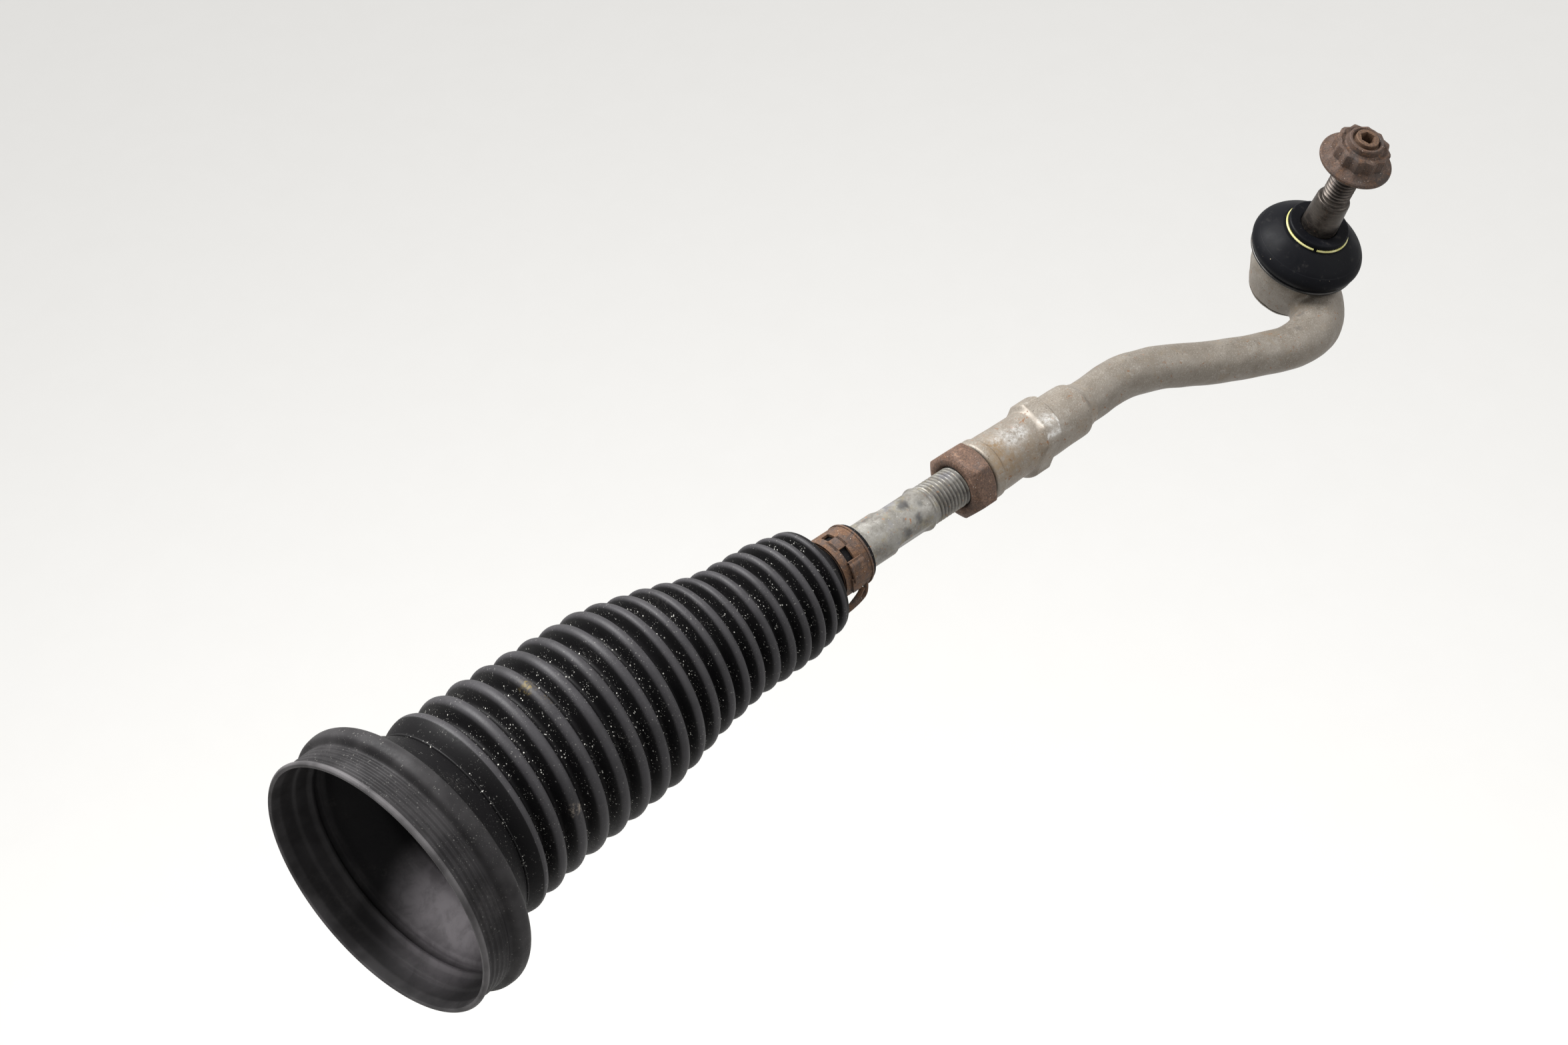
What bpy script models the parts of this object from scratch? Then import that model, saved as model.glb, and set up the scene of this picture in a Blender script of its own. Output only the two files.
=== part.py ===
"""Steering tie rod assembly: outer tie rod end, jam nut, inner axial rod and rack bellows.

Frame: +X runs along the rod from the rack to the wheel, +Z along the outer ball stud. The origin is the
centre of the rack stud's end face. Dimensions below are in millimetres; the model is in metres.
"""

import math

import bpy
from mathutils import Matrix, Vector

MM = 0.001
GAP = 0.3  # between pieces that touch

# Stations along the rod axis
INNER_BALL_X = 46.0
OUTER_BALL_X = 375.5
SHOULDER_X = 22.0
NUT_X = (195.0, 204.6)
BARREL_X = (204.9, 254.0)
BLOCK_X = (226.8, 237.3)
FLATS_X = (163.0, 178.0)
ROD_END_X = 244.0

# Inner axial joint and rod
RACK_STUD_R = 8.0
INNER_HOUSING_R = 18.5
INNER_HOUSING_FLATS = 32.0
INNER_BALL_R = 12.5
INNER_SEAT_R = (12.8, 15.0)
INNER_CAVITY_R = 15.4
INNER_OPENING_DEG = 58.0
ROD_NECK_R = 6.4
ROD_R = 7.6
ROD_FLATS = 13.0
ROD_FLATS_TURN = math.radians(14.0)
ROD_THREAD_R = 7.0

# Jam nut and barrel
NUT_FLATS = 22.0
NUT_TURN = math.radians(-8.0)
NUT_BORE_R = 7.3
BARREL_R = 10.1
BARREL_RIM_R = 10.7
BARREL_RIM_LONG = 4.0
BLOCK_R = 11.8
BLOCK_FLATS = 20.6
BLOCK_TURN = math.radians(-9.0)
ARM_R = 7.7

# Outer joint
HOUSING_R = 17.4
HOUSING_TOP_Z = 7.2
HOUSING_BOTTOM_Z = -16.0
BOSS_R = 14.6
BALL_R = 11.0
SEAT_R = (11.3, 13.3)
CAVITY_R = 13.7
OPENING_DEG = 61.0
STUD_NECK_R = 6.1
TAPER_Z = (21.0, 34.0)
TAPER_R = (6.5, 6.0)
STUD_THREAD_R = 5.0
STUD_END_Z = 65.0
SOCKET_FLATS = 5.0
FLANGE_Z = 52.6
FLANGE_R = 13.0
TWELVE_POINT_FLATS = 17.4
FLANGE_NUT_TOP_Z = 61.6
COLLAR_R = 6.6
STUD_NUT_BORE_R = 5.3
BOOT_R = 20.5
BOOT_COLLAR_R = 10.6
BOOT_TOP_Z = 22.2

# Rack bellows
MOUTH_X = -38.4
CRESTS = 19
FIRST_CREST_X = -4.6
FIRST_PITCH = 9.0
LAST_PITCH = 5.85
CREST_DEPTH = 4.2
BELLOWS_WALL = 1.9
CUFF_X = (134.5, 150.1)
CUFF_R = 9.2
CLAMP_X = (136.5, 147.6)
CLAMP_R = (9.5, 10.4)

for old in list(bpy.data.objects):
    bpy.data.objects.remove(old)

parts = bpy.data.collections.new("tie_rod_assembly")
cutters = bpy.data.collections.new("cutters")
for collection in (parts, cutters):
    bpy.context.scene.collection.children.link(collection)


def material(name, colour, metallic, roughness):
    made = bpy.data.materials.new(name)
    made.use_nodes = True
    shader = made.node_tree.nodes["Principled BSDF"]
    shader.inputs["Base Color"].default_value = (*colour, 1.0)
    shader.inputs["Metallic"].default_value = metallic
    shader.inputs["Roughness"].default_value = roughness
    return made


def add(name, mesh, collection=parts, at=(0.0, 0.0, 0.0)):
    made = bpy.data.objects.new(name, mesh)
    made.location = Vector(at) * MM
    collection.objects.link(made)
    if collection is cutters:
        made.hide_render = True
        made.display_type = "WIRE"
    return made


def lathe(name, profile, steps, along="Z", at=(0.0, 0.0, 0.0), closed=False, collection=parts):
    """Turns a profile of (radius, height) points round Z, or round X when along is X."""
    mesh = bpy.data.meshes.new(name)
    points = [(r * MM, 0.0, h * MM) for r, h in profile]
    edges = [(i, i + 1) for i in range(len(points) - 1)]
    if closed:
        edges.append((len(points) - 1, 0))
    mesh.from_pydata(points, edges, [])
    made = add(name, mesh, collection, at)
    screw = made.modifiers.new("turn", "SCREW")
    screw.steps = steps
    screw.render_steps = steps
    screw.use_smooth_shade = True
    screw.use_merge_vertices = True
    screw.merge_threshold = 0.00001
    if along == "X":
        made.rotation_euler = (0.0, math.radians(90.0), 0.0)
    return made


def down(profile):
    """(height, radius) points, turned to (radius, height) in reverse order."""
    return [(r, h) for h, r in reversed(profile)]


def up(profile):
    """(height, radius) points, turned to (radius, height) in the same order."""
    return [(r, h) for h, r in profile]


def prism(name, sides, flats, low, high, along="Z", at=(0.0, 0.0, 0.0), turn=0.0, collection=cutters):
    """A regular prism given by its size across flats and its two end heights."""
    radius = flats / 2.0 / math.cos(math.pi / sides)
    bpy.ops.mesh.primitive_cylinder_add(vertices=sides, radius=radius * MM, depth=(high - low) * MM)
    made = bpy.context.object
    made.name = name
    mesh = made.data
    for vertex in mesh.vertices:
        vertex.co.z += (high + low) / 2.0 * MM
    for holder in list(made.users_collection):
        holder.objects.unlink(made)
    bpy.data.objects.remove(made)
    made = add(name, mesh, collection, at)
    made.rotation_euler = (0.0, math.radians(90.0), 0.0) if along == "X" else (0.0, 0.0, 0.0)
    for vertex in mesh.vertices:
        x, y = vertex.co.x, vertex.co.y
        vertex.co.x = x * math.cos(turn) - y * math.sin(turn)
        vertex.co.y = x * math.sin(turn) + y * math.cos(turn)
    return made


def block(name, low, high, collection=cutters):
    """A box between two corners."""
    size = Vector(high) - Vector(low)
    centre = (Vector(high) + Vector(low)) / 2.0
    bpy.ops.mesh.primitive_cube_add(size=1.0)
    made = bpy.context.object
    mesh = made.data
    for vertex in mesh.vertices:
        vertex.co = Vector(vertex.co[i] * size[i] * MM for i in range(3))
    for holder in list(made.users_collection):
        holder.objects.unlink(made)
    bpy.data.objects.remove(made)
    return add(name, mesh, collection, centre)


def boolean(target, other, operation):
    cut = target.modifiers.new(other.name, "BOOLEAN")
    cut.operation = operation
    cut.solver = "EXACT"
    cut.object = other


def two_flats(target, name, flats, x_range, reach, turn=0.0):
    """Cuts two flats that face +Y and -Y, or those turned round X."""
    for label, side in (("right", -1.0), ("left", 1.0)):
        near, far = sorted((side * flats / 2.0, side * reach))
        cutter = block(f"{name}_{label}", (x_range[0], near, -reach), (x_range[1], far, reach))
        cutter.location = Matrix.Rotation(turn, 3, "X") @ cutter.location
        cutter.rotation_euler = (turn, 0.0, 0.0)
        boolean(target, cutter, "DIFFERENCE")


def arc(radius, first_deg, last_deg, count):
    """Points (height, radius) on a circle round the origin; angle 0 is along +height."""
    made = []
    for i in range(count + 1):
        angle = math.radians(first_deg + (last_deg - first_deg) * i / count)
        made.append((radius * math.cos(angle), radius * math.sin(angle)))
    return made


def finish(target, name, colour, metallic, roughness):
    target.data.materials.append(material(name, colour, metallic, roughness))


# Inner axial joint, turned round X with its origin at the ball's centre
inner_at = (INNER_BALL_X, 0.0, 0.0)
neck_angle = math.degrees(math.asin(ROD_NECK_R / INNER_BALL_R))

rod_profile = arc(INNER_BALL_R, 180.0, neck_angle, 11)
rod_profile += [
    (60.0 - INNER_BALL_X, ROD_NECK_R),
    (72.0 - INNER_BALL_X, ROD_R),
    (140.5 - INNER_BALL_X, ROD_R),
    (179.5 - INNER_BALL_X, ROD_R),
    (181.0 - INNER_BALL_X, ROD_THREAD_R),
    (ROD_END_X - 1.2 - INNER_BALL_X, ROD_THREAD_R),
    (ROD_END_X - INNER_BALL_X, ROD_THREAD_R - 1.2),
    (ROD_END_X - INNER_BALL_X, 0.0),
]
rod_profile[0] = (-INNER_BALL_R, 0.0)
inner_rod = lathe("inner_rod", down(rod_profile), 24, "X", inner_at)
two_flats(inner_rod, "rod_flat", ROD_FLATS, FLATS_X, 12.0, ROD_FLATS_TURN)
finish(inner_rod, "zinc_steel", (0.52, 0.52, 0.5), 0.7, 0.5)

cavity = arc(INNER_CAVITY_R, INNER_OPENING_DEG, 90.0, 4)
housing_profile = [
    (-INNER_BALL_X, 0.0),
    (-INNER_BALL_X, RACK_STUD_R - 1.3),
    (1.3 - INNER_BALL_X, RACK_STUD_R),
    (SHOULDER_X - INNER_BALL_X, RACK_STUD_R),
    (SHOULDER_X - INNER_BALL_X, INNER_HOUSING_R - 1.5),
    (SHOULDER_X + 1.5 - INNER_BALL_X, INNER_HOUSING_R),
    (3.0, INNER_HOUSING_R),
    (10.5, 16.6),
    (10.5, 14.2),
]
housing_profile += cavity
housing_profile += [
    (-17.5, INNER_CAVITY_R),
    (-17.5, 0.0),
]
inner_housing = lathe("inner_joint_housing", down(housing_profile), 28, "X", inner_at)
housing_flats_x = (SHOULDER_X - 0.01, INNER_BALL_X - 9.0)
two_flats(inner_housing, "housing_flat", INNER_HOUSING_FLATS, housing_flats_x, 24.0)
finish(inner_housing, "inner_housing_steel", (0.3, 0.3, 0.31), 0.8, 0.45)

seat_profile = arc(INNER_SEAT_R[1], 55.0, 138.0, 6) + arc(INNER_SEAT_R[0], 138.0, 55.0, 6)
inner_seat = lathe("inner_ball_seat", up(seat_profile), 24, "X", inner_at, closed=True)
finish(inner_seat, "inner_seat_polymer", (0.85, 0.84, 0.78), 0.0, 0.4)

disc_profile = [(-17.2, 0.0), (-17.2, 15.0), (-6.0, 15.0)]
disc_profile += arc(INNER_CAVITY_R, 112.0, 180.0, 6)[:-1]
disc_profile += [(-INNER_CAVITY_R, 0.0)]
inner_disc = lathe("inner_preload_disc", down(disc_profile), 24, "X", inner_at)
finish(inner_disc, "inner_disc_polymer", (0.2, 0.2, 0.22), 0.0, 0.5)

# Jam nut
jam_nut = prism("jam_nut", 6, NUT_FLATS, *NUT_X, "X", (0.0, 0.0, 0.0), NUT_TURN, parts)
nut_corner = NUT_FLATS / 2.0 / math.cos(math.pi / 6.0)
nut_limit = [
    (NUT_X[0] - 1.0, 0.0),
    (NUT_X[0] - 1.0, NUT_FLATS / 2.0 - 2.4),
    (NUT_X[0] + 1.3, nut_corner + 0.2),
    (NUT_X[1] - 1.3, nut_corner + 0.2),
    (NUT_X[1] + 1.0, NUT_FLATS / 2.0 - 2.4),
    (NUT_X[1] + 1.0, 0.0),
]
nut_chamfer = lathe("nut_chamfer", down(nut_limit), 28, "X", collection=cutters)
boolean(jam_nut, nut_chamfer, "INTERSECT")
nut_bore = prism("nut_bore", 20, NUT_BORE_R * 2.0, NUT_X[0] - 2.0, NUT_X[1] + 2.0, "X")
boolean(jam_nut, nut_bore, "DIFFERENCE")
finish(jam_nut, "rusty_steel", (0.3, 0.17, 0.1), 0.4, 0.8)

# Tie rod end body: barrel and spanner block, cranked arm, ball housing
barrel_profile = [
    (BARREL_X[0], 0.0),
    (BARREL_X[0], BARREL_RIM_R - 0.6),
    (BARREL_X[0] + 0.6, BARREL_RIM_R),
    (BARREL_X[0] + BARREL_RIM_LONG, BARREL_RIM_R),
    (BARREL_X[0] + BARREL_RIM_LONG + 0.6, BARREL_R),
    (BARREL_X[1] - 4.0, BARREL_R),
    (BARREL_X[1] - 0.8, BARREL_R - 1.2),
    (BARREL_X[1] + 3.0, ARM_R - 0.4),
    (BARREL_X[1] + 3.0, 0.0),
]
body = lathe("tie_rod_end_body", down(barrel_profile), 28, "X")
block_profile = [
    (BLOCK_X[0], 0.0),
    (BLOCK_X[0], BLOCK_R - 0.9),
    (BLOCK_X[0] + 1.0, BLOCK_R),
    (BLOCK_X[1] - 1.0, BLOCK_R),
    (BLOCK_X[1], BLOCK_R - 0.9),
    (BLOCK_X[1], 0.0),
]
spanner_block = lathe("spanner_block", down(block_profile), 28, "X", collection=cutters)
block_cut_x = (BLOCK_X[0] - 1.0, BLOCK_X[1] + 1.0)
two_flats(spanner_block, "block_side", BLOCK_FLATS, block_cut_x, 14.0, BLOCK_TURN)
two_flats(spanner_block, "block_face", BLOCK_FLATS, block_cut_x, 14.0, BLOCK_TURN + math.radians(90.0))
boolean(body, spanner_block, "UNION")

# Centre line of the cranked arm: (x, y, z, radius factor) at each bend
ARM_LINE = (
    (BARREL_X[1] - 6.0, 0.0, 0.0, 1.0),
    (BARREL_X[1] + 24.0, 0.4, -0.3, 1.0),
    (BARREL_X[1] + 66.0, -16.2, -2.0, 1.0),
    (BARREL_X[1] + 93.5, -24.0, -3.8, 1.06),
    (BARREL_X[1] + 114.5, -16.0, -6.4, 1.25),
    (OUTER_BALL_X - 1.5, -5.0, -6.6, 1.25),
)
arm_curve = bpy.data.curves.new("arm", "CURVE")
arm_curve.dimensions = "3D"
arm_curve.resolution_u = 5
arm_curve.bevel_depth = ARM_R * MM
arm_curve.bevel_resolution = 3
arm_curve.use_fill_caps = True
arm_spline = arm_curve.splines.new("BEZIER")
arm_spline.bezier_points.add(len(ARM_LINE) - 1)
for point, (x, y, z, factor) in zip(arm_spline.bezier_points, ARM_LINE):
    point.co = Vector((x, y, z)) * MM
    point.radius = factor
    point.handle_left_type = "AUTO"
    point.handle_right_type = "AUTO"
arm_guide = add("arm_guide", arm_curve, cutters)
bpy.context.view_layer.update()
arm_mesh = bpy.data.meshes.new_from_object(arm_guide.evaluated_get(bpy.context.evaluated_depsgraph_get()))
bpy.data.objects.remove(arm_guide)
arm = add("arm", arm_mesh, cutters)
weld = arm.modifiers.new("weld", "WELD")
weld.merge_threshold = 0.00001

outer_at = (OUTER_BALL_X, 0.0, 0.0)
head_profile = [
    (HOUSING_BOTTOM_Z, 0.0),
    (HOUSING_BOTTOM_Z, HOUSING_R - 4.4),
    (HOUSING_BOTTOM_Z + 0.8, HOUSING_R - 3.5),
    (HOUSING_BOTTOM_Z + 3.0, HOUSING_R - 2.7),
    (-8.0, HOUSING_R - 1.2),
    (-3.0, HOUSING_R - 0.2),
    (2.2, HOUSING_R),
    (3.4, HOUSING_R - 1.0),
    (3.4, BOSS_R),
    (HOUSING_TOP_Z, BOSS_R),
    (HOUSING_TOP_Z, 0.0),
]
head = lathe("head", down(head_profile), 30, "Z", outer_at, collection=cutters)
hollow = [(HOUSING_TOP_Z + 3.0, 0.0), (HOUSING_TOP_Z + 3.0, 13.4)]
hollow += arc(CAVITY_R, OPENING_DEG, 90.0, 4)
hollow += [
    (HOUSING_BOTTOM_Z + 1.4, CAVITY_R),
    (HOUSING_BOTTOM_Z + 1.4, 12.2),
    (HOUSING_BOTTOM_Z - 1.0, 12.2),
    (HOUSING_BOTTOM_Z - 1.0, 0.0),
]
chamber = lathe("chamber", up(hollow), 30, "Z", outer_at, collection=cutters)
thread_bore = prism("thread_bore", 20, NUT_BORE_R * 2.0, BARREL_X[0] - 1.0, ROD_END_X + 3.6, "X")
boolean(body, arm, "UNION")
boolean(body, head, "UNION")
boolean(body, chamber, "DIFFERENCE")
boolean(body, thread_bore, "DIFFERENCE")
finish(body, "phosphated_steel", (0.33, 0.32, 0.3), 0.6, 0.6)

# Outer ball joint, turned round Z with its origin at the ball's centre
stud_neck_deg = math.degrees(math.asin(STUD_NECK_R / BALL_R))
stud_profile = arc(BALL_R, 180.0, stud_neck_deg, 10)
stud_profile[0] = (-BALL_R, 0.0)
stud_profile += [
    (14.0, STUD_NECK_R),
    (19.0, TAPER_R[0]),
    (TAPER_Z[0], TAPER_R[0]),
    (TAPER_Z[1], TAPER_R[1]),
    (TAPER_Z[1] + 0.9, TAPER_R[1] - 0.9),
    (TAPER_Z[1] + 0.9, STUD_THREAD_R),
    (STUD_END_Z - 3.0, STUD_THREAD_R),
    (STUD_END_Z - 2.0, STUD_THREAD_R - 1.0),
    (STUD_END_Z, STUD_THREAD_R - 1.0),
    (STUD_END_Z, 0.0),
]
ball_stud = lathe("ball_stud", down(stud_profile), 24, "Z", outer_at)
socket_z = (STUD_END_Z - 5.0, STUD_END_Z + 2.0)
boolean(ball_stud, prism("stud_socket", 6, SOCKET_FLATS, *socket_z, "Z", outer_at), "DIFFERENCE")
finish(ball_stud, "machined_steel", (0.2, 0.18, 0.17), 0.9, 0.35)

seat_profile = arc(SEAT_R[1], 55.0, 135.0, 6) + arc(SEAT_R[0], 135.0, 55.0, 6)
ball_seat = lathe("ball_seat", up(seat_profile), 24, "Z", outer_at, closed=True)
finish(ball_seat, "seat_polymer", (0.86, 0.85, 0.8), 0.0, 0.4)

ring_profile = [(-12.2, 9.6), (-12.2, 13.3), (-5.0, 13.3)] + arc(CAVITY_R, 111.0, 138.0, 4)
preload_ring = lathe("seat_preload_ring", down(ring_profile), 24, "Z", outer_at, closed=True)
finish(preload_ring, "elastomer", (0.12, 0.12, 0.13), 0.0, 0.7)

cover_profile = [(-14.2, 0.0), (-14.2, 13.3), (-12.6, 13.3), (-12.6, 0.0)]
cover_plate = lathe("cover_plate", down(cover_profile), 28, "Z", outer_at)
finish(cover_plate, "plated_steel", (0.6, 0.6, 0.58), 0.8, 0.4)

boot_outer = [(4.2, 16.6), (4.2, 18.3), (6.2, 19.2)]
boot_outer += [(7.2, BOOT_R - 0.4), (8.8, BOOT_R), (10.2, BOOT_R - 0.4), (12.2, 18.6)]
boot_outer += [(14.4, 16.7), (16.6, 14.0), (17.8, 12.2)]
boot_outer += [(18.2, BOOT_COLLAR_R), (BOOT_TOP_Z - 0.6, BOOT_COLLAR_R), (BOOT_TOP_Z, BOOT_COLLAR_R - 0.6)]
boot_inner = [(BOOT_TOP_Z, 6.9), (17.4, 6.9), (16.4, 9.6), (15.0, 12.6), (13.0, 15.2)]
boot_inner += [(10.8, 17.2), (9.0, 18.4), (7.8, 17.6), (7.2, 15.0), (4.2, 15.0)]
dust_boot = lathe("dust_boot", down(boot_outer + boot_inner), 26, "Z", outer_at, closed=True)
finish(dust_boot, "boot_rubber", (0.02, 0.02, 0.022), 0.0, 0.45)

upper_ring_profile = [
    (18.6, BOOT_COLLAR_R + GAP),
    (18.6, 11.9),
    (19.8, 11.9),
    (19.8, BOOT_COLLAR_R + GAP),
]
upper_ring = lathe("boot_upper_ring", down(upper_ring_profile), 28, "Z", outer_at, closed=True)
ring_gap = block("ring_gap", (OUTER_BALL_X - 0.6, -14.0, 18.0), (OUTER_BALL_X + 0.6, -9.0, 20.4))
boolean(upper_ring, ring_gap, "DIFFERENCE")
finish(upper_ring, "yellow_polymer", (0.75, 0.72, 0.35), 0.0, 0.5)

lower_ring_profile = [(4.4, 18.6), (4.4, 19.5), (5.4, 19.5), (5.4, 19.1)]
lower_ring = lathe("boot_lower_ring", down(lower_ring_profile), 28, "Z", outer_at, closed=True)
finish(lower_ring, "black_steel", (0.04, 0.04, 0.04), 0.6, 0.5)

# Flange nut
head_z = (FLANGE_Z + 1.5, FLANGE_NUT_TOP_Z)
flange_nut = prism("flange_nut", 6, TWELVE_POINT_FLATS, *head_z, "Z", outer_at, 0.0, parts)
second_hex = prism("second_hex", 6, TWELVE_POINT_FLATS, *head_z, "Z", outer_at, math.radians(30.0))
flange_profile = [
    (FLANGE_Z, 0.0),
    (FLANGE_Z, FLANGE_R - 0.3),
    (FLANGE_Z + 0.6, FLANGE_R),
    (FLANGE_Z + 1.4, FLANGE_R - 0.4),
    (FLANGE_Z + 3.4, 9.0),
    (FLANGE_Z + 3.4, COLLAR_R),
    (FLANGE_NUT_TOP_Z + 1.6, COLLAR_R),
    (FLANGE_NUT_TOP_Z + 2.0, COLLAR_R - 0.6),
    (FLANGE_NUT_TOP_Z + 2.0, 0.0),
]
boolean(flange_nut, second_hex, "UNION")
flange = lathe("flange", down(flange_profile), 28, "Z", outer_at, collection=cutters)
boolean(flange_nut, flange, "UNION")
flange_bore_z = (FLANGE_Z - 2.0, FLANGE_NUT_TOP_Z + 4.0)
flange_bore = prism("flange_nut_bore", 20, STUD_NUT_BORE_R * 2.0, *flange_bore_z, "Z", outer_at)
boolean(flange_nut, flange_bore, "DIFFERENCE")
finish(flange_nut, "rusty_flange_steel", (0.32, 0.19, 0.12), 0.4, 0.75)


# Rack bellows
def crest_radius(x):
    """Outer radius of the convolutions: a plain section, a cone, then a slim section."""
    if x < 57.0:
        return 32.8 - (x - FIRST_CREST_X) * 0.054
    if x < 95.0:
        return 29.5 - (x - 57.0) * 0.221
    if x < 118.0:
        return 21.1 - (x - 95.0) * 0.028
    return 20.4 - (x - 118.0) * 0.22


crest_x = [FIRST_CREST_X]
for i in range(CRESTS - 1):
    crest_x.append(crest_x[-1] + FIRST_PITCH + (LAST_PITCH - FIRST_PITCH) * i / (CRESTS - 2))
bellows_outer = [
    (MOUTH_X, 41.4),
    (MOUTH_X + 0.7, 42.1),
    (MOUTH_X + 3.4, 40.6),
    (-28.4, 40.6),
    (-27.4, 43.4),
    (-24.6, 43.6),
    (-22.4, 42.2),
    (-18.6, 37.6),
    (-14.4, 33.4),
    (-9.4, crest_radius(-9.4) - 2.4),
]
for i, x in enumerate(crest_x):
    bellows_outer.append((x, crest_radius(x)))
    valley = x + (crest_x[i + 1] - x) / 2.0 if i + 1 < CRESTS else x + LAST_PITCH * 0.45
    bellows_outer.append((valley, crest_radius(valley) - CREST_DEPTH))
bellows_outer += [
    (CUFF_X[0], CUFF_R),
    (CUFF_X[1] - 1.9, CUFF_R),
    (CUFF_X[1] - 1.4, CUFF_R + 0.5),
    (CUFF_X[1], CUFF_R + 0.4),
]
inside = CREST_DEPTH + BELLOWS_WALL
bellows_inner = [
    (CUFF_X[1], ROD_R + GAP),
    (CUFF_X[0] + 0.6, ROD_R + GAP),
    (CUFF_X[0] - 3.4, 11.0),
    (118.0, crest_radius(118.0) - inside),
    (95.0, crest_radius(95.0) - inside),
    (57.0, crest_radius(57.0) - inside),
    (-9.4, crest_radius(-9.4) - inside),
    (-14.8, 31.4),
    (-22.0, 36.6),
    (-25.0, 38.8),
    (MOUTH_X + 3.0, 38.8),
    (MOUTH_X, 40.4),
]
bellows = lathe("bellows", down(bellows_outer + bellows_inner), 26, "X", closed=True)
finish(bellows, "bellows_rubber", (0.025, 0.025, 0.027), 0.0, 0.5)

# Bellows clamp: a band with a folded hook
band_profile = [
    (CLAMP_X[0], CLAMP_R[0]),
    (CLAMP_X[1], CLAMP_R[0]),
    (CLAMP_X[1], CLAMP_R[1]),
    (CLAMP_X[0], CLAMP_R[1]),
]
clamp = lathe("bellows_clamp", up(band_profile), 28, "X", closed=True)
hook_low = (CLAMP_X[0] + 2.6, -13.0, -7.6)
hook_high = (CLAMP_X[1] - 2.4, -8.0, -5.9)
boolean(clamp, block("clamp_hook", hook_low, hook_high), "UNION")
finish(clamp, "rusty_spring_steel", (0.42, 0.2, 0.08), 0.4, 0.8)
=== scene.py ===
"""Tie rod assembly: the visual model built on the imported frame.

Lengths in the pieces below are in millimetres and angles round the rod in degrees from +Y towards +Z.
"""

import math

import bmesh
import bpy
import numpy as np
from mathutils import Matrix, Vector


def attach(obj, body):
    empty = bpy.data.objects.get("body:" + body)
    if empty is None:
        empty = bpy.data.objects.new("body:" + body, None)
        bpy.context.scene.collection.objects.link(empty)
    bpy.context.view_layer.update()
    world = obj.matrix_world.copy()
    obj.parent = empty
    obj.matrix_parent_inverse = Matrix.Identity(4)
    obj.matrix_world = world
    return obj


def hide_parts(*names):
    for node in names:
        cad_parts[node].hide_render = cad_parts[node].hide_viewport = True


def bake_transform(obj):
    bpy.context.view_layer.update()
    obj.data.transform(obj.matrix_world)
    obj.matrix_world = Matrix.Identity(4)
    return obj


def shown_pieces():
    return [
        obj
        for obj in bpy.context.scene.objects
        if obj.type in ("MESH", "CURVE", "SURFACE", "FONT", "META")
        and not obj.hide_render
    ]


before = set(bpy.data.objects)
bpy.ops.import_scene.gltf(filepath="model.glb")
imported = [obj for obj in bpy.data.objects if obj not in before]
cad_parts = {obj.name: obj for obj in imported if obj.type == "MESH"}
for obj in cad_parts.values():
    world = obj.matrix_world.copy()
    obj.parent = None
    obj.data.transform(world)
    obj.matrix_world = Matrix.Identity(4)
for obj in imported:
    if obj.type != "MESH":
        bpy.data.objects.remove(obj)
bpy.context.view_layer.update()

MM = 0.001
INNER_X = 46.0
OUTER_X = 375.5
ROD_R = 7.6
BARREL_R = 10.1


# ---------------------------------------------------------------- geometry
def turn_angles(steps):
    return np.linspace(0.0, 2.0 * math.pi, steps, endpoint=False)


def ring(height, radius, steps, axis="X", centre=0.0):
    """Points round an axis; height and radius are numbers or one value per step."""
    angle = turn_angles(steps)
    h = np.broadcast_to(np.asarray(height, float), (steps,))
    r = np.broadcast_to(np.asarray(radius, float), (steps,))
    if axis == "X":
        return np.stack([h + centre, r * np.cos(angle), r * np.sin(angle)], axis=1)
    return np.stack([centre + r * np.cos(angle), r * np.sin(angle), h], axis=1)


def stud_ring(height, radius, steps):
    """A ring round the outer stud's axis."""
    return ring(height, radius, steps, "Z", OUTER_X)


def turned(profile, steps, axis="X", centre=0.0):
    """A ring for each point of a profile."""
    return [ring(h, r, steps, axis, centre) for h, r in profile]


def pole(height, axis="X", centre=0.0):
    """A ring of one point on the axis."""
    if axis == "X":
        return np.array([[height + centre, 0.0, 0.0]])
    return np.array([[centre, 0.0, height]])


def linked(name, data):
    """A new object in the scene."""
    made = bpy.data.objects.new(name, data)
    bpy.context.scene.collection.objects.link(made)
    return made


def skin(name, rings, loop=False, values=None):
    """A mesh through rings of points. A ring of one point closes an end.

    values maps a name to one number, or one number per point, for each ring.
    """
    starts = np.cumsum([0] + [len(r) for r in rings])
    faces = []
    pairs = [(i, i + 1) for i in range(len(rings) - 1)]
    if loop:
        pairs.append((len(rings) - 1, 0))
    for a, b in pairs:
        na, nb = len(rings[a]), len(rings[b])
        n = max(na, nb)
        for k in range(n):
            j = (k + 1) % n
            if na == 1:
                faces.append((starts[a], starts[b] + k, starts[b] + j))
            elif nb == 1:
                faces.append((starts[a] + k, starts[b], starts[a] + j))
            else:
                faces.append((starts[a] + k, starts[b] + k, starts[b] + j, starts[a] + j))
    mesh = bpy.data.meshes.new(name)
    points = np.concatenate(rings) * MM
    mesh.from_pydata(points.tolist(), [], [tuple(int(v) for v in f) for f in faces])
    if values:
        for key, per_ring in values.items():
            attribute = mesh.attributes.new(key, "FLOAT", "POINT")
            spread = np.concatenate([np.broadcast_to(v, (len(r),)) for v, r in zip(per_ring, rings)])
            attribute.data.foreach_set("value", spread.astype(np.float32))
    outward(mesh)
    return linked(name, mesh)


def outward(mesh):
    """Turns all faces outwards."""
    work = bmesh.new()
    work.from_mesh(mesh)
    bmesh.ops.recalc_face_normals(work, faces=work.faces)
    work.to_mesh(mesh)
    work.free()


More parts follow.
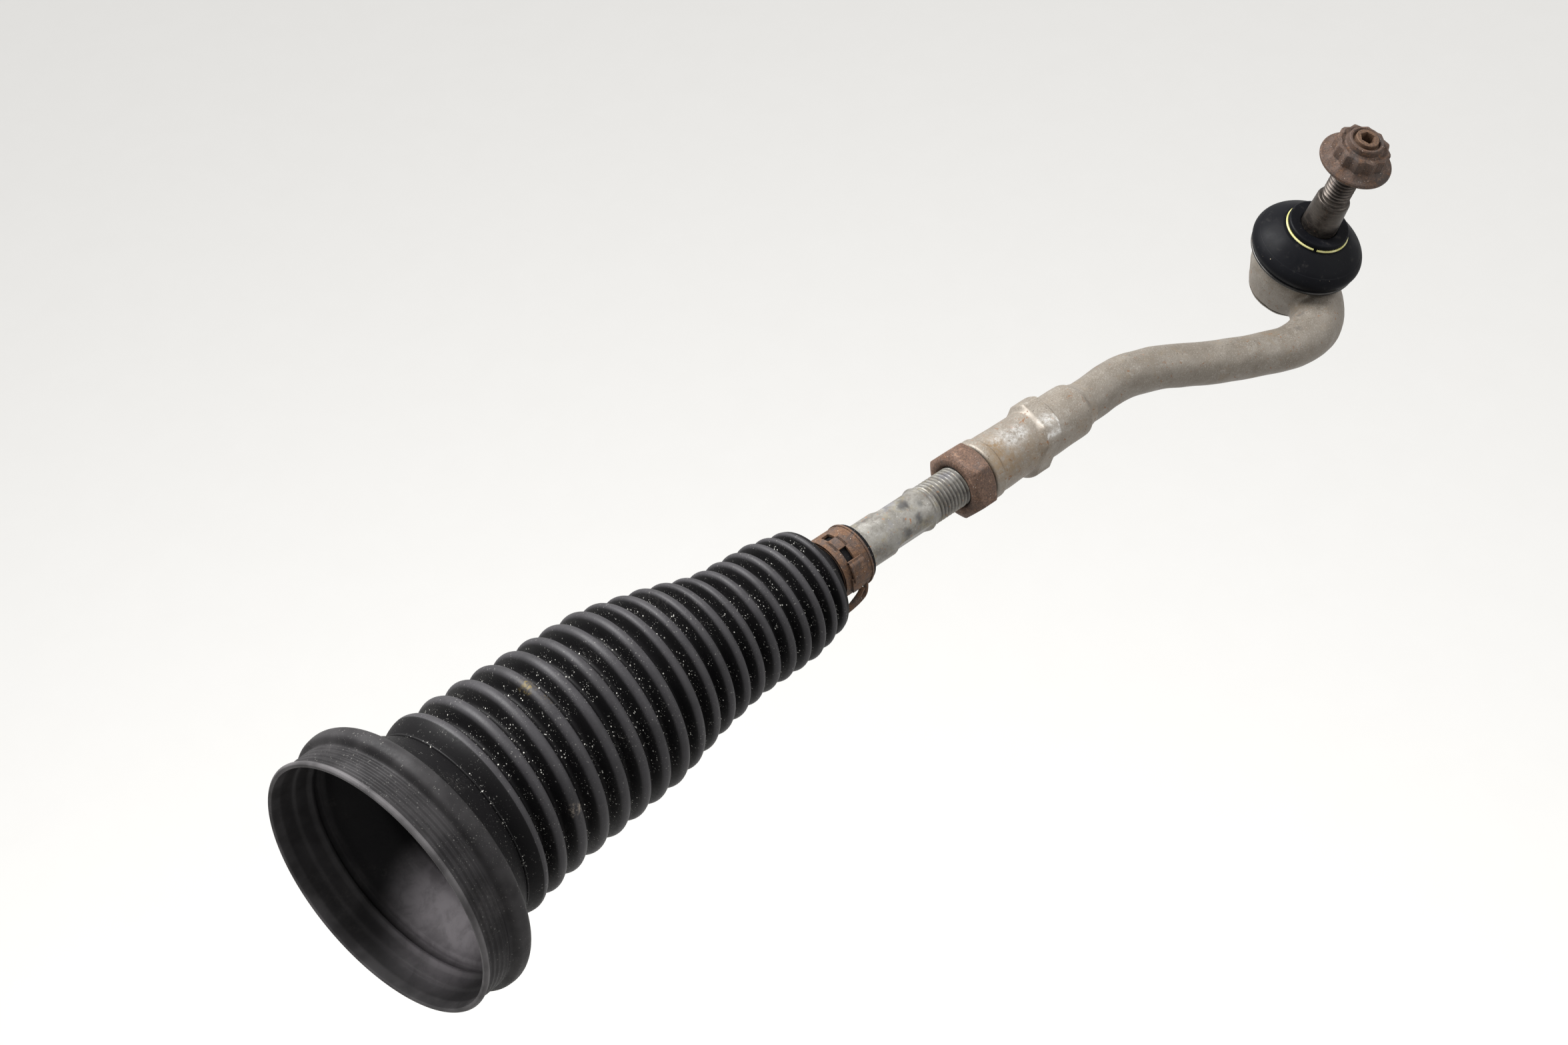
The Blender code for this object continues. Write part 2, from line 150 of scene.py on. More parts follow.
def coated(obj, paint, degrees):
    """The piece with its material, smooth but for edges sharper than this angle."""
    obj.data.shade_smooth()
    obj.data.set_sharp_from_angle(angle=math.radians(degrees))
    obj.data.materials.append(paint)
    return obj


def modified(obj, kind, **settings):
    """Applies a modifier with these settings."""
    modifier = obj.modifiers.new("shape", kind)
    for key, value in settings.items():
        setattr(modifier, key, value)
    graph = bpy.context.evaluated_depsgraph_get()
    mesh = bpy.data.meshes.new_from_object(obj.evaluated_get(graph))
    obj.modifiers.clear()
    obj.data = mesh
    return obj


def joined(name, objects):
    """One object holding the meshes of several."""
    work = bmesh.new()
    for obj in objects:
        mesh = obj.data.copy()
        mesh.transform(obj.matrix_world)
        work.from_mesh(mesh)
        bpy.data.meshes.remove(mesh)
    mesh = bpy.data.meshes.new(name)
    work.to_mesh(mesh)
    work.free()
    for obj in objects:
        bpy.data.objects.remove(obj)
    return linked(name, mesh)


def rounded(points, parts=5):
    """A profile from (height, radius, fillet) corners, with each corner rounded by its fillet."""
    made = []
    for i, (h, r, fillet) in enumerate(points):
        if fillet <= 0.0 or i in (0, len(points) - 1):
            made.append((h, r))
            continue
        here = np.array((h, r))
        before, after = (np.array(points[j][:2]) - here for j in (i - 1, i + 1))
        a = here + before / np.linalg.norm(before) * min(fillet, np.linalg.norm(before) * 0.49)
        b = here + after / np.linalg.norm(after) * min(fillet, np.linalg.norm(after) * 0.49)
        for k in range(parts + 1):
            t = k / parts
            made.append(tuple((1 - t) ** 2 * a + 2 * t * (1 - t) * here + t * t * b))
    return made


def divided(profile, longest):
    """The same profile with no stretch longer than this."""
    made = [profile[0]]
    for a, b in zip(profile, profile[1:]):
        count = max(1, math.ceil(math.dist(a, b) / longest))
        made += [tuple(np.array(a) + (np.array(b) - a) * k / count) for k in range(1, count + 1)]
    return made


def arc(radius, first, last, count):
    """Profile points on a circle round the origin; 0 degrees is along +height."""
    angles = np.radians(np.linspace(first, last, count + 1))
    return [(radius * math.cos(a), radius * math.sin(a)) for a in angles]


def blend_step(value, low, high):
    """0 below low and 1 above high, smoothly."""
    t = np.clip((np.asarray(value, float) - low) / (high - low), 0.0, 1.0)
    return t * t * (3.0 - 2.0 * t)


def polygon_radius(steps, sides, flats, first_flat_deg):
    """Radius of a regular polygon's side at each step round it."""
    angle = np.degrees(turn_angles(steps))
    share = 360.0 / sides
    off = (angle - first_flat_deg + share / 2.0) % share - share / 2.0
    return flats / 2.0 / np.cos(np.radians(off))


def thread_depth(height, steps, pitch, depth, starts_at, ends_at, fade=1.0):
    """How far an external right-hand thread dips at each step of a ring at this height."""
    turn = np.linspace(0.0, 1.0, steps, endpoint=False)
    phase = (height / pitch - turn) % 1.0
    away = np.abs(phase - 0.5) * 2.0
    groove = np.clip((1.0 - away - 0.12) / 0.76, 0.0, 1.0)
    run = blend_step(height, starts_at, starts_at + fade * pitch)
    run = run * (1.0 - blend_step(height, ends_at - fade * pitch, ends_at))
    return depth * groove * run


def wobble(points, amount, scale, seed):
    """Small smooth unevenness, as on a forged or moulded surface, from a few seeded sine waves."""
    rng = np.random.default_rng(seed)
    shift = np.zeros(len(points))
    for _ in range(6):
        direction = rng.normal(size=3)
        direction *= 2.0 * math.pi / scale / np.linalg.norm(direction) * rng.uniform(0.6, 1.5)
        shift += np.sin(points @ direction + rng.uniform(0.0, 2.0 * math.pi))
    return shift / 6.0 * amount


# ---------------------------------------------------------------- materials
class Paint:
    """A node material and short calls that add nodes to it."""

    def __init__(self, name, metallic=0.0, roughness=0.5):
        self.material = bpy.data.materials.new(name)
        self.material.use_nodes = True
        self.tree = self.material.node_tree
        self.shader = self.tree.nodes["Principled BSDF"]
        self.shader.inputs["Metallic"].default_value = metallic
        self.shader.inputs["Roughness"].default_value = roughness
        self.where = self.node("ShaderNodeTexCoord").outputs["Object"]
        self.colour = self.rough = self.metal = self.relief = None

    def node(self, kind, **settings):
        made = self.tree.nodes.new(kind)
        for key, value in settings.items():
            setattr(made, key, value)
        return made

    def feed(self, target, value):
        if isinstance(value, bpy.types.NodeSocket):
            self.tree.links.new(value, target)
        elif isinstance(value, (tuple, list)) and len(value) == 3 and len(target.default_value) == 4:
            target.default_value = (*value, 1.0)
        else:
            target.default_value = value

    def math(self, operation, a, b):
        made = self.node("ShaderNodeMath", operation=operation)
        self.feed(made.inputs[0], a)
        self.feed(made.inputs[1], b)
        return made.outputs[0]

    def times(self, a, b):
        return self.math("MULTIPLY", a, b)

    def plus(self, a, b):
        return self.math("ADD", a, b)

    def minus(self, a, b):
        return self.math("SUBTRACT", a, b)

    def larger(self, a, b):
        return self.math("MAXIMUM", a, b)

    def stretch(self, scale):
        made = self.node("ShaderNodeMapping")
        self.feed(made.inputs["Vector"], self.where)
        made.inputs["Scale"].default_value = scale
        return made.outputs["Vector"]

    def noise(self, size, detail=4.0, rough=0.55, distort=0.0, scale=(1.0, 1.0, 1.0)):
        """Noise with features of about this size in millimetres."""
        made = self.node("ShaderNodeTexNoise")
        self.feed(made.inputs["Vector"], self.stretch(scale) if scale != (1.0, 1.0, 1.0) else self.where)
        made.inputs["Scale"].default_value = 1000.0 / size
        made.inputs["Detail"].default_value = detail
        made.inputs["Roughness"].default_value = rough
        made.inputs["Distortion"].default_value = distort
        return made.outputs["Fac"]

    def cells(self, size):
        """Distance from the middles of scattered cells of about this size in millimetres."""
        made = self.node("ShaderNodeTexVoronoi")
        self.feed(made.inputs["Vector"], self.where)
        made.inputs["Scale"].default_value = 1000.0 / size
        return made.outputs["Distance"]

    def distance(self, centre):
        """Distance in metres from a place given in millimetres."""
        away = self.node("ShaderNodeVectorMath", operation="DISTANCE")
        self.feed(away.inputs[0], self.where)
        away.inputs[1].default_value = tuple(c * MM for c in centre)
        return away.outputs["Value"]

    def span(self, value, low, high, out_low=0.0, out_high=1.0):
        """Maps low..high to out_low..out_high, smoothly and clamped."""
        made = self.node("ShaderNodeMapRange", interpolation_type="SMOOTHSTEP")
        for key, number in (
            ("From Min", low), ("From Max", high), ("To Min", out_low), ("To Max", out_high)
        ):
            made.inputs[key].default_value = number
        self.feed(made.inputs["Value"], value)
        return made.outputs["Result"]

    def mix(self, share, a, b):
        made = self.node("ShaderNodeMix", data_type="RGBA")
        self.feed(made.inputs[0], share)
        self.feed(made.inputs[6], a)
        self.feed(made.inputs[7], b)
        return made.outputs[2]

    def lay(self, share, tint):
        """Lays a tint over the colour built so far."""
        self.colour = self.mix(share, self.colour, tint)

    def attribute(self, name):
        return self.node("ShaderNodeAttribute", attribute_name=name).outputs["Fac"]

    def along(self, axis):
        made = self.node("ShaderNodeSeparateXYZ")
        self.feed(made.inputs[0], self.where)
        return made.outputs[axis]

    def bump(self, height, strength, depth, below=None):
        """depth is the height of the relief in millimetres."""
        made = self.node("ShaderNodeBump")
        made.inputs["Strength"].default_value = strength
        made.inputs["Distance"].default_value = depth * MM
        self.feed(made.inputs["Height"], height)
        if below is not None:
            self.feed(made.inputs["Normal"], below)
        return made.outputs["Normal"]

    def done(self, **others):
        """The material, with what the paint holds fed to its shader."""
        for key, value in (
            ("Base Color", self.colour),
            ("Roughness", self.rough),
            ("Metallic", self.metal),
            ("Normal", self.relief),
            *others.items(),
        ):
            if value is not None:
                self.feed(self.shader.inputs[key.replace("_", " ")], value)
        return self.material


def toned(tone, *rgb):
    """The colour made lighter or darker by this factor."""
    return tuple(c * tone for c in rgb)


def spot(paint, centre, radius, ragged, size):
    """A share that is 1 inside an uneven round patch at this place and 0 outside it."""
    edge = paint.plus(paint.distance(centre), paint.times(paint.noise(size, 5.0), ragged * radius * MM))
    return paint.span(edge, radius * MM * 1.2, radius * MM * 0.75)


def rubber_bellows():
    p = Paint("bellows_rubber_paint", roughness=0.5)
    crest = p.attribute("crest")
    valley = p.attribute("valley")
    inside = p.attribute("inside")
    fine = p.noise(0.9, 6.0, 0.6)
    cloud = p.noise(14.0, 4.0, 0.6)
    black = p.mix(cloud, (0.0024, 0.0022, 0.0026), (0.0058, 0.0054, 0.0058))
    # the lighter grey bands along the crests are part rubbed wear and part painted highlight
    worn = p.mix(fine, (0.02, 0.0188, 0.0208), (0.035, 0.0335, 0.0362))
    band = p.times(p.span(crest, 0.7, 0.92), p.span(cloud, 0.25, 0.6, 0.6, 1.0))
    p.colour = p.mix(band, black, worn)
    film = p.times(p.span(p.noise(22.0, 5.0, 0.65), 0.5, 0.72), 0.22)
    p.lay(p.times(film, p.span(fine, 0.4, 0.7)), (0.06, 0.056, 0.052))
    # white grains lie in the valleys and along the bead, in clusters
    clusters = p.span(p.noise(11.0, 3.0, 0.7), 0.38, 0.52)
    lying = p.times(clusters, p.span(valley, 0.3, 0.75, 0.12, 1.0))
    grain = p.times(p.span(p.cells(1.15), 0.24, 0.14), p.span(p.noise(2.4, 2.0), 0.5, 0.54))
    dust = p.times(p.span(p.cells(0.7), 0.2, 0.1), p.span(p.noise(5.0, 3.0), 0.42, 0.52, 0.0, 0.75))
    specks = p.times(p.larger(grain, dust), lying)
    specks = p.times(specks, p.minus(1.0, inside))
    p.lay(specks, (0.55, 0.54, 0.5))
    # dried mud on the middle folds and a tuft of pale fibres lower down
    for centre, radius, tint in (
        ((22.0, 9.0, 28.5), 7.0, (0.1, 0.075, 0.025)),
        ((24.0, 2.0, 30.0), 5.0, (0.12, 0.09, 0.035)),
        ((17.0, 14.0, 27.0), 6.0, (0.05, 0.045, 0.038)),
        ((13.0, -25.0, 19.0), 4.5, (0.14, 0.12, 0.1)),
    ):
        mud = p.times(spot(p, centre, radius, 1.3, 3.0), p.span(p.noise(1.3, 6.0, 0.7), 0.47, 0.58))
        p.lay(mud, tint)
    lip_wear = p.times(p.attribute("lip"), p.span(p.noise(9.0, 3.0, 0.5), 0.3, 0.7, 0.45, 1.0))
    p.lay(lip_wear, (0.085, 0.081, 0.083))
    p.rough = p.plus(p.span(fine, 0.2, 0.8, 0.46, 0.6), p.times(specks, 0.3))
    # a painted sheen: a wide soft lighter patch painted low down on one side of the smooth funnel, which is
    # also made glossier there
    painted_sheen = p.times(inside, p.span(p.distance((-14.0, -16.0, -29.0)), 0.028, 0.004))
    painted_sheen = p.times(painted_sheen, p.span(p.noise(5.0, 5.0, 0.65, 0.5), 0.3, 0.62, 0.7, 1.0))
    p.lay(painted_sheen, (0.3, 0.275, 0.295))
    p.rough = p.minus(p.rough, p.times(painted_sheen, 0.16))
    shine = p.plus(0.07, p.plus(p.times(crest, 0.1), p.times(painted_sheen, 0.5)))
    p.relief = p.bump(fine, 0.25, 0.06, p.bump(specks, 0.8, 0.25))
    return p.done(Specular_IOR_Level=shine)


def rubber_boot():
    p = Paint("boot_rubber_paint", roughness=0.4)
    fine = p.noise(0.7, 6.0, 0.6)
    cloud = p.noise(6.0, 4.0, 0.6)
    p.colour = p.mix(cloud, (0.0022, 0.0024, 0.0034), (0.005, 0.0052, 0.0064))
    scuff = p.times(p.span(p.noise(3.0, 6.0, 0.7), 0.56, 0.7), 0.3)
    p.lay(scuff, (0.035, 0.033, 0.03))
    speck = p.times(p.span(p.cells(2.6), 0.1, 0.05), p.span(p.noise(5.0), 0.52, 0.6))
    p.lay(speck, (0.22, 0.19, 0.14))
    p.rough = p.plus(p.span(cloud, 0.3, 0.7, 0.42, 0.54), p.times(scuff, 0.3))
    p.relief = p.bump(fine, 0.2, 0.05)
    return p.done(Specular_IOR_Level=0.05)


def forged_steel(name, rust_share, tone=1.0):
    """Phosphated forging: even warm grey with fine speckle, pits and rust spots."""
    p = Paint(name, metallic=0.35, roughness=0.55)
    grit = p.noise(0.5, 7.0, 0.75)
    patch = p.noise(9.0, 5.0, 0.6)
    dark = toned(tone, 0.115, 0.097, 0.077)
    light = toned(tone, 0.155, 0.137, 0.115)
    p.colour = p.mix(p.span(patch, 0.25, 0.75), dark, light)
    p.lay(p.span(grit, 0.5, 0.72, 0.0, 0.75), toned(tone, 0.28, 0.26, 0.23))
    p.lay(p.span(grit, 0.46, 0.3, 0.0, 0.7), toned(tone, 0.062, 0.05, 0.038))
    bloom = p.span(p.noise(4.0, 6.0, 0.7), 0.5, 0.72, 0.0, 0.4)
    p.lay(bloom, toned(tone, 0.235, 0.222, 0.2))
    stain = p.times(p.span(p.noise(7.0, 6.0, 0.72, 0.4), 0.54, 0.68), 0.45)
    p.lay(stain, toned(tone, 0.115, 0.084, 0.05))
    dots = p.times(
        p.span(p.noise(1.7, 5.0, 0.65, 0.4), 0.63 - 0.05 * rust_share, 0.7 - 0.05 * rust_share),
        p.span(p.noise(12.0, 3.0, 0.6), 0.4, 0.56),
    )
    p.lay(dots, p.mix(grit, (0.075, 0.035, 0.016), (0.17, 0.085, 0.04)))
    pits = p.times(p.span(p.cells(1.5), 0.14, 0.07), p.span(p.noise(5.0), 0.54, 0.6))
    p.lay(pits, (0.02, 0.016, 0.012))
    p.metal = p.minus(0.4, p.times(p.larger(dots, stain), 0.35))
    p.rough = p.plus(p.span(grit, 0.3, 0.7, 0.45, 0.62), p.times(dots, 0.3))
    p.relief = p.bump(patch, 0.1, 0.4, p.bump(grit, 0.5, 0.12))
    return p


def scuffed(p, places):
    """Worn lighter metal at these places, as (centre, radius), and where the mesh's wear is high."""
    soft = p.span(p.noise(1.5, 7.0, 0.8, 0.3), 0.36, 0.64)
    worn = p.times(p.attribute("wear"), p.span(p.noise(1.2, 5.0, 0.7), 0.36, 0.62, 0.12, 0.7))
    for centre, radius in places:
        here = p.times(p.span(p.distance(centre), radius * MM * 1.3, 0.0), soft)
        worn = p.larger(worn, p.times(here, 0.8))
    p.lay(worn, (0.5, 0.5, 0.49))
    p.rough = p.mix(worn, p.rough, (0.34, 0.34, 0.34))
    p.metal = p.larger(p.metal, p.times(worn, 0.8))
    return p


def stained(p, places):
    """Yellow-brown rust bloom at these places, as (centre, radius, strength)."""
    for centre, radius, strength in places:
        here = p.times(
            p.span(p.distance(centre), radius * MM * 1.4, 0.0, 0.0, strength),
            p.span(p.noise(2.2, 6.0, 0.72), 0.34, 0.6),
        )
        p.lay(here, (0.15, 0.09, 0.035))
    return p


def smudged(p, places):
    """Dark greasy smudges at these places, as (centre, radius, strength)."""
    for centre, radius, strength in places:
        here = p.times(spot(p, centre, radius, 1.2, 4.0), strength)
        p.lay(here, (0.035, 0.034, 0.036))
        p.rough = p.mix(here, p.rough, (0.5, 0.5, 0.5))
    return p


def zinc_rod():
    """Dull zinc, stained warm and dark in patches, with painted shade in the thread's grooves."""
    p = Paint("zinc_rod_paint", metallic=0.6, roughness=0.5)
    grit = p.noise(0.6, 6.0, 0.7)
    patch = p.noise(6.0, 5.0, 0.65, 0.4)
    p.colour = p.mix(p.span(patch, 0.3, 0.7), (0.115, 0.106, 0.092), (0.21, 0.202, 0.184))
    dots = p.times(p.span(p.noise(1.6, 4.0, 0.6), 0.62, 0.68), p.span(p.noise(9.0), 0.42, 0.56))
    # painted shade darkens the thread's grooves, unevenly
    painted_groove_shade = p.times(
        p.span(p.attribute("groove"), 0.2, 0.85, 0.0, 0.7),
        p.span(p.noise(2.4, 5.0, 0.7), 0.32, 0.55, 0.5, 1.0),
    )
    # painted glints: small bright specks of painted highlight
    painted_glint = p.times(p.span(p.cells(1.0), 0.1, 0.05), p.span(p.noise(3.0), 0.5, 0.6))
    p.lay(p.span(grit, 0.52, 0.75, 0.0, 0.5), (0.36, 0.355, 0.34))
    p.lay(p.span(grit, 0.44, 0.3, 0.0, 0.5), (0.08, 0.072, 0.06))
    p.lay(p.span(p.noise(5.0, 5.0, 0.7), 0.5, 0.66, 0.0, 0.6), (0.17, 0.145, 0.09))
    p.lay(p.span(p.noise(3.4, 5.0, 0.7, 0.5), 0.54, 0.68, 0.0, 0.6), (0.08, 0.068, 0.062))
    p.lay(p.span(p.noise(8.0, 4.0, 0.6), 0.56, 0.68, 0.0, 0.4), (0.13, 0.135, 0.17))
    p.lay(dots, (0.2, 0.085, 0.03))
    p.lay(painted_groove_shade, (0.05, 0.046, 0.045))
    p.lay(painted_glint, (0.62, 0.62, 0.6))
    p.rough = p.plus(p.span(patch, 0.3, 0.7, 0.44, 0.58), p.times(dots, 0.3))
    p.metal = p.minus(0.6, p.times(dots, 0.5))
    p.relief = p.bump(grit, 0.35, 0.1)
    dark = (
        ((171.0, 1.5, 7.0), 5.0, 0.8),
        ((172.5, -4.5, 5.6), 4.5, 0.85),
        ((167.0, -6.0, 4.0), 4.5, 0.7),
        ((176.0, -1.0, 7.0), 3.2, 0.6),
    )
    return smudged(p, dark).done()


def rusty(name, hot, dark, tone):
    """Rusted steel; hot leans it to orange and dark to brown-black."""
    p = Paint(name, metallic=0.15, roughness=0.8)
    grit = p.noise(0.5, 7.0, 0.75)
    patch = p.noise(3.2, 6.0, 0.7, 0.3)
    broad = p.noise(9.0, 4.0, 0.6)
    brown = p.mix(
        p.span(grit, 0.32, 0.68), toned(tone, 0.03, 0.017, 0.011), toned(tone, 0.12, 0.066, 0.042)
    )
    orange = p.mix(p.span(grit, 0.32, 0.68), toned(tone, 0.07, 0.03, 0.012), toned(tone, 0.21, 0.105, 0.05))
    p.colour = p.mix(p.span(patch, 0.72 - 0.4 * hot, 0.86 - 0.34 * hot), brown, orange)
    black = p.span(broad, 0.62 - 0.2 * dark, 0.74 - 0.14 * dark, 0.0, 0.85)
    p.lay(black, p.mix(grit, toned(tone, 0.018, 0.013, 0.011), toned(tone, 0.07, 0.05, 0.042)))
    pale = p.times(p.span(p.noise(1.8, 6.0, 0.7), 0.55, 0.7), 0.55)
    p.lay(pale, toned(tone, 0.24, 0.145, 0.095))
    # painted glints: small bright specks of painted highlight
    painted_glint = p.times(p.span(p.cells(0.9), 0.13, 0.07), p.span(p.noise(2.6), 0.52, 0.58))
    p.lay(painted_glint, (0.5, 0.46, 0.42))
    p.rough = p.span(patch, 0.3, 0.7, 0.68, 0.88)
    p.relief = p.bump(patch, 0.45, 0.35, p.bump(grit, 0.8, 0.2))
    return p.done()


def turned_steel(name, axis, low, high, rust, gloss, rusty_past=None):
    """Machined steel with fine turning lines across the axis; it is rusty past this height, in metres."""
    p = Paint(name, metallic=0.9, roughness=gloss)
    squeeze = [0.05, 0.05, 0.05]
    squeeze[axis] = 1.0
    lines = p.noise(0.22, 3.0, 0.5, 0.0, tuple(squeeze))
    patch = p.noise(5.0, 5.0, 0.65, 0.5)
    p.colour = p.mix(p.span(patch, 0.3, 0.7), low, high)
    p.lay(p.span(lines, 0.45, 0.7, 0.0, 0.35), tuple(min(1.0, c * 1.9) for c in high))
    stain = p.span(p.noise(2.6, 6.0, 0.7, 0.5), 0.6 - 0.06 * rust, 0.74, 0.0, 0.75)
    if rusty_past is not None:
        stain = p.larger(stain, p.span(p.along(axis), rusty_past, rusty_past + 0.002, 0.0, 0.9))
    rust_grit = p.noise(0.6, 6.0, 0.75)
    p.lay(stain, p.mix(p.span(rust_grit, 0.3, 0.7), (0.03, 0.017, 0.01), (0.13, 0.07, 0.038)))
    # painted shade darkens the thread's grooves
    p.lay(p.span(p.attribute("groove"), 0.2, 0.8, 0.0, 0.85), (0.012, 0.01, 0.009))
    p.metal = p.minus(0.92, p.times(stain, 0.5))
    p.rough = p.plus(p.span(patch, 0.3, 0.7, gloss - 0.05, gloss + 0.1), p.times(stain, 0.25))
    p.relief = p.bump(lines, 0.25, 0.03, p.bump(patch, 0.1, 0.2))
    return p.done()


def plastic(name, low, high, gloss, size):
    p = Paint(name, roughness=gloss)
    patch = p.noise(size, 5.0, 0.6)
    grain = p.noise(0.4, 4.0, 0.6)
    p.colour = p.mix(p.span(patch, 0.3, 0.7), low, high)
    p.rough = p.span(patch, 0.3, 0.7, gloss - 0.06, gloss + 0.1)
    p.relief = p.bump(grain, 0.2, 0.04)
    return p.done()


# ---------------------------------------------------------------- inner axial joint and rod
THREAD_PITCH = 1.5
ROD_THREAD_DEPTH = 0.75
SHOULDER_X = 22.0


def inner_rod_piece():
    steps = 96
    rings = [pole(INNER_X - 12.5)]
    rings += turned(arc(12.5, 176.0, 30.8, 26), steps, "X", INNER_X)
    shaft = rounded([(57.6, 6.4, 0.0), (61.0, 6.4, 2.0), (72.0, ROD_R, 3.0), (160.0, ROD_R, 0.0)])
    rings += turned(shaft, steps)
    flat = np.minimum(ROD_R, polygon_radius(steps, 2, 13.0, 14.0))
    for x in np.arange(160.5, 180.6, 0.4):
        share = blend_step(x, 162.0, 164.2) * (1.0 - blend_step(x, 177.0, 179.0))
        neck = 0.65 * blend_step(x, 179.4, 180.4)
        rings.append(ring(x, ROD_R + (flat - ROD_R) * share - neck, steps))
    groove = [0.0] * len(rings)
    for x in np.arange(180.8, 242.8, 0.15):
        dip = thread_depth(x, steps, THREAD_PITCH, ROD_THREAD_DEPTH, 180.9, 246.0)
        rings.append(ring(x, 7.0 - dip, steps))
        groove.append(dip / ROD_THREAD_DEPTH)
    rings += [ring(244.0, 5.8, steps), pole(244.0)]
    groove += [0.0, 0.0]
    return coated(skin("inner_rod_detail", rings, values={"groove": groove}), zinc_rod(), 40.0)


def inner_housing_piece():
    steps = 96
    rings = [pole(0.0), ring(0.0, 6.6, steps), ring(0.15, 6.8, steps), ring(1.2, 7.85, steps)]
    for x in np.arange(1.35, 18.5, 0.15):
        rings.append(ring(x, 7.95 - thread_depth(x, steps, THREAD_PITCH, 0.9, 0.4, 18.4), steps))
    nose = rounded([
        (18.6, 7.95, 0.0), (19.2, 7.0, 0.3), (21.2, 7.0, 0.6), (22.0, 8.0, 0.4), (22.0, 17.2, 0.6),
        (23.3, 18.5, 0.5), (24.0, 18.5, 0.0),
    ])
    flat = np.minimum(18.5, polygon_radius(steps, 2, 32.0, 0.0))
    rings += [ring(x, np.minimum(r, flat if x >= SHOULDER_X else r), steps) for x, r in nose]
    for x in np.arange(24.4, 39.0, 0.4):
        share = 1.0 - blend_step(x, 36.2, 37.6)
        rings.append(ring(x, 18.5 + (flat - 18.5) * share, steps))
    crimp = rounded([
        (39.0, 18.5, 0.0), (49.0, 18.5, 1.2), (51.2, 17.9, 0.8), (56.5, 16.4, 1.0), (56.5, 14.3, 0.5),
        (54.16, 13.06, 0.0),
    ])
    rings += turned(crimp, steps)
    rings += turned(arc(15.4, 60.0, 90.0, 8), steps, "X", INNER_X)
    rings += [ring(28.5, 15.4, steps), pole(28.5)]
    return coated(
        skin("inner_joint_housing_detail", rings),
        turned_steel("inner_housing_paint", 0, (0.1, 0.1, 0.102), (0.25, 0.247, 0.24), 0.3, 0.34),
        38.0,
    )


# ---------------------------------------------------------------- jam nut
NUT_FLATS = 22.0
NUT_FIRST_FLAT_DEG = 22.0
NUT_CHAMFER_DEG = 33.0
NUT_EDGE = 0.22
NUT_EDGE_DEG = 20.0
NUT_X = (195.0, 204.6)


def jam_nut_piece():
    steps = 180
    hexagon = np.minimum(polygon_radius(steps, 6, NUT_FLATS, NUT_FIRST_FLAT_DEG), 12.5)
    chamfer_r = 9.7
    drop = (hexagon - chamfer_r) * math.tan(math.radians(NUT_CHAMFER_DEG))
    low, high = NUT_X
    rings = [
        ring(low + 0.8, 7.15, steps),
        ring(low, 7.95, steps),
        ring(low, chamfer_r, steps),
        ring(low + drop, hexagon, steps),
        ring(low + 3.5, hexagon, steps),
        ring(high - 3.5, hexagon, steps),
        ring(high - drop, hexagon, steps),
        ring(high, chamfer_r, steps),
        ring(high, 7.95, steps),
        ring(high - 0.8, 7.15, steps),
    ]
    made = skin("jam_nut_detail", rings, loop=True)
    modified(
        made,
        "BEVEL",
        width=NUT_EDGE * MM,
        segments=2,
        limit_method="ANGLE",
        angle_limit=math.radians(NUT_EDGE_DEG),
        harden_normals=True,
    )
    return coated(made, rusty("jam_nut_paint", 0.36, 0.4, 1.02), 26.0)


# ---------------------------------------------------------------- tie rod end body
BLOCK_SKEW = 3.6
BLOCK_FLATS = 20.6
BLOCK_REAR_X = 234.8


def block_shift(steps):
    """The spanner block sits further out on one side of the barrel than on the other."""
    angle = np.degrees(turn_angles(steps))
    return BLOCK_SKEW * np.cos(np.radians(angle - 50.0))


def barrel_paint():
    """The forging's finish, scuffed along the top and rust-stained near the mouth."""
    p = forged_steel("barrel_paint", 0.95, 1.15)
    scuffed(
        p,
        (
            ((217.5, 0.0, 10.0), 4.5), ((213.5, 1.5, 9.8), 3.0), ((222.5, 0.0, 10.2), 4.0),
            ((233.5, -2.0, 10.3), 3.5),
        ),
    )
    stained(
        p,
        (
            ((211.0, 0.5, 10.0), 5.0, 0.8), ((208.0, -6.0, 8.5), 5.0, 0.7),
            ((214.0, -6.5, 7.5), 6.0, 0.6), ((223.0, -8.0, 6.0), 7.0, 0.4),
        ),
    )
    return p.done()


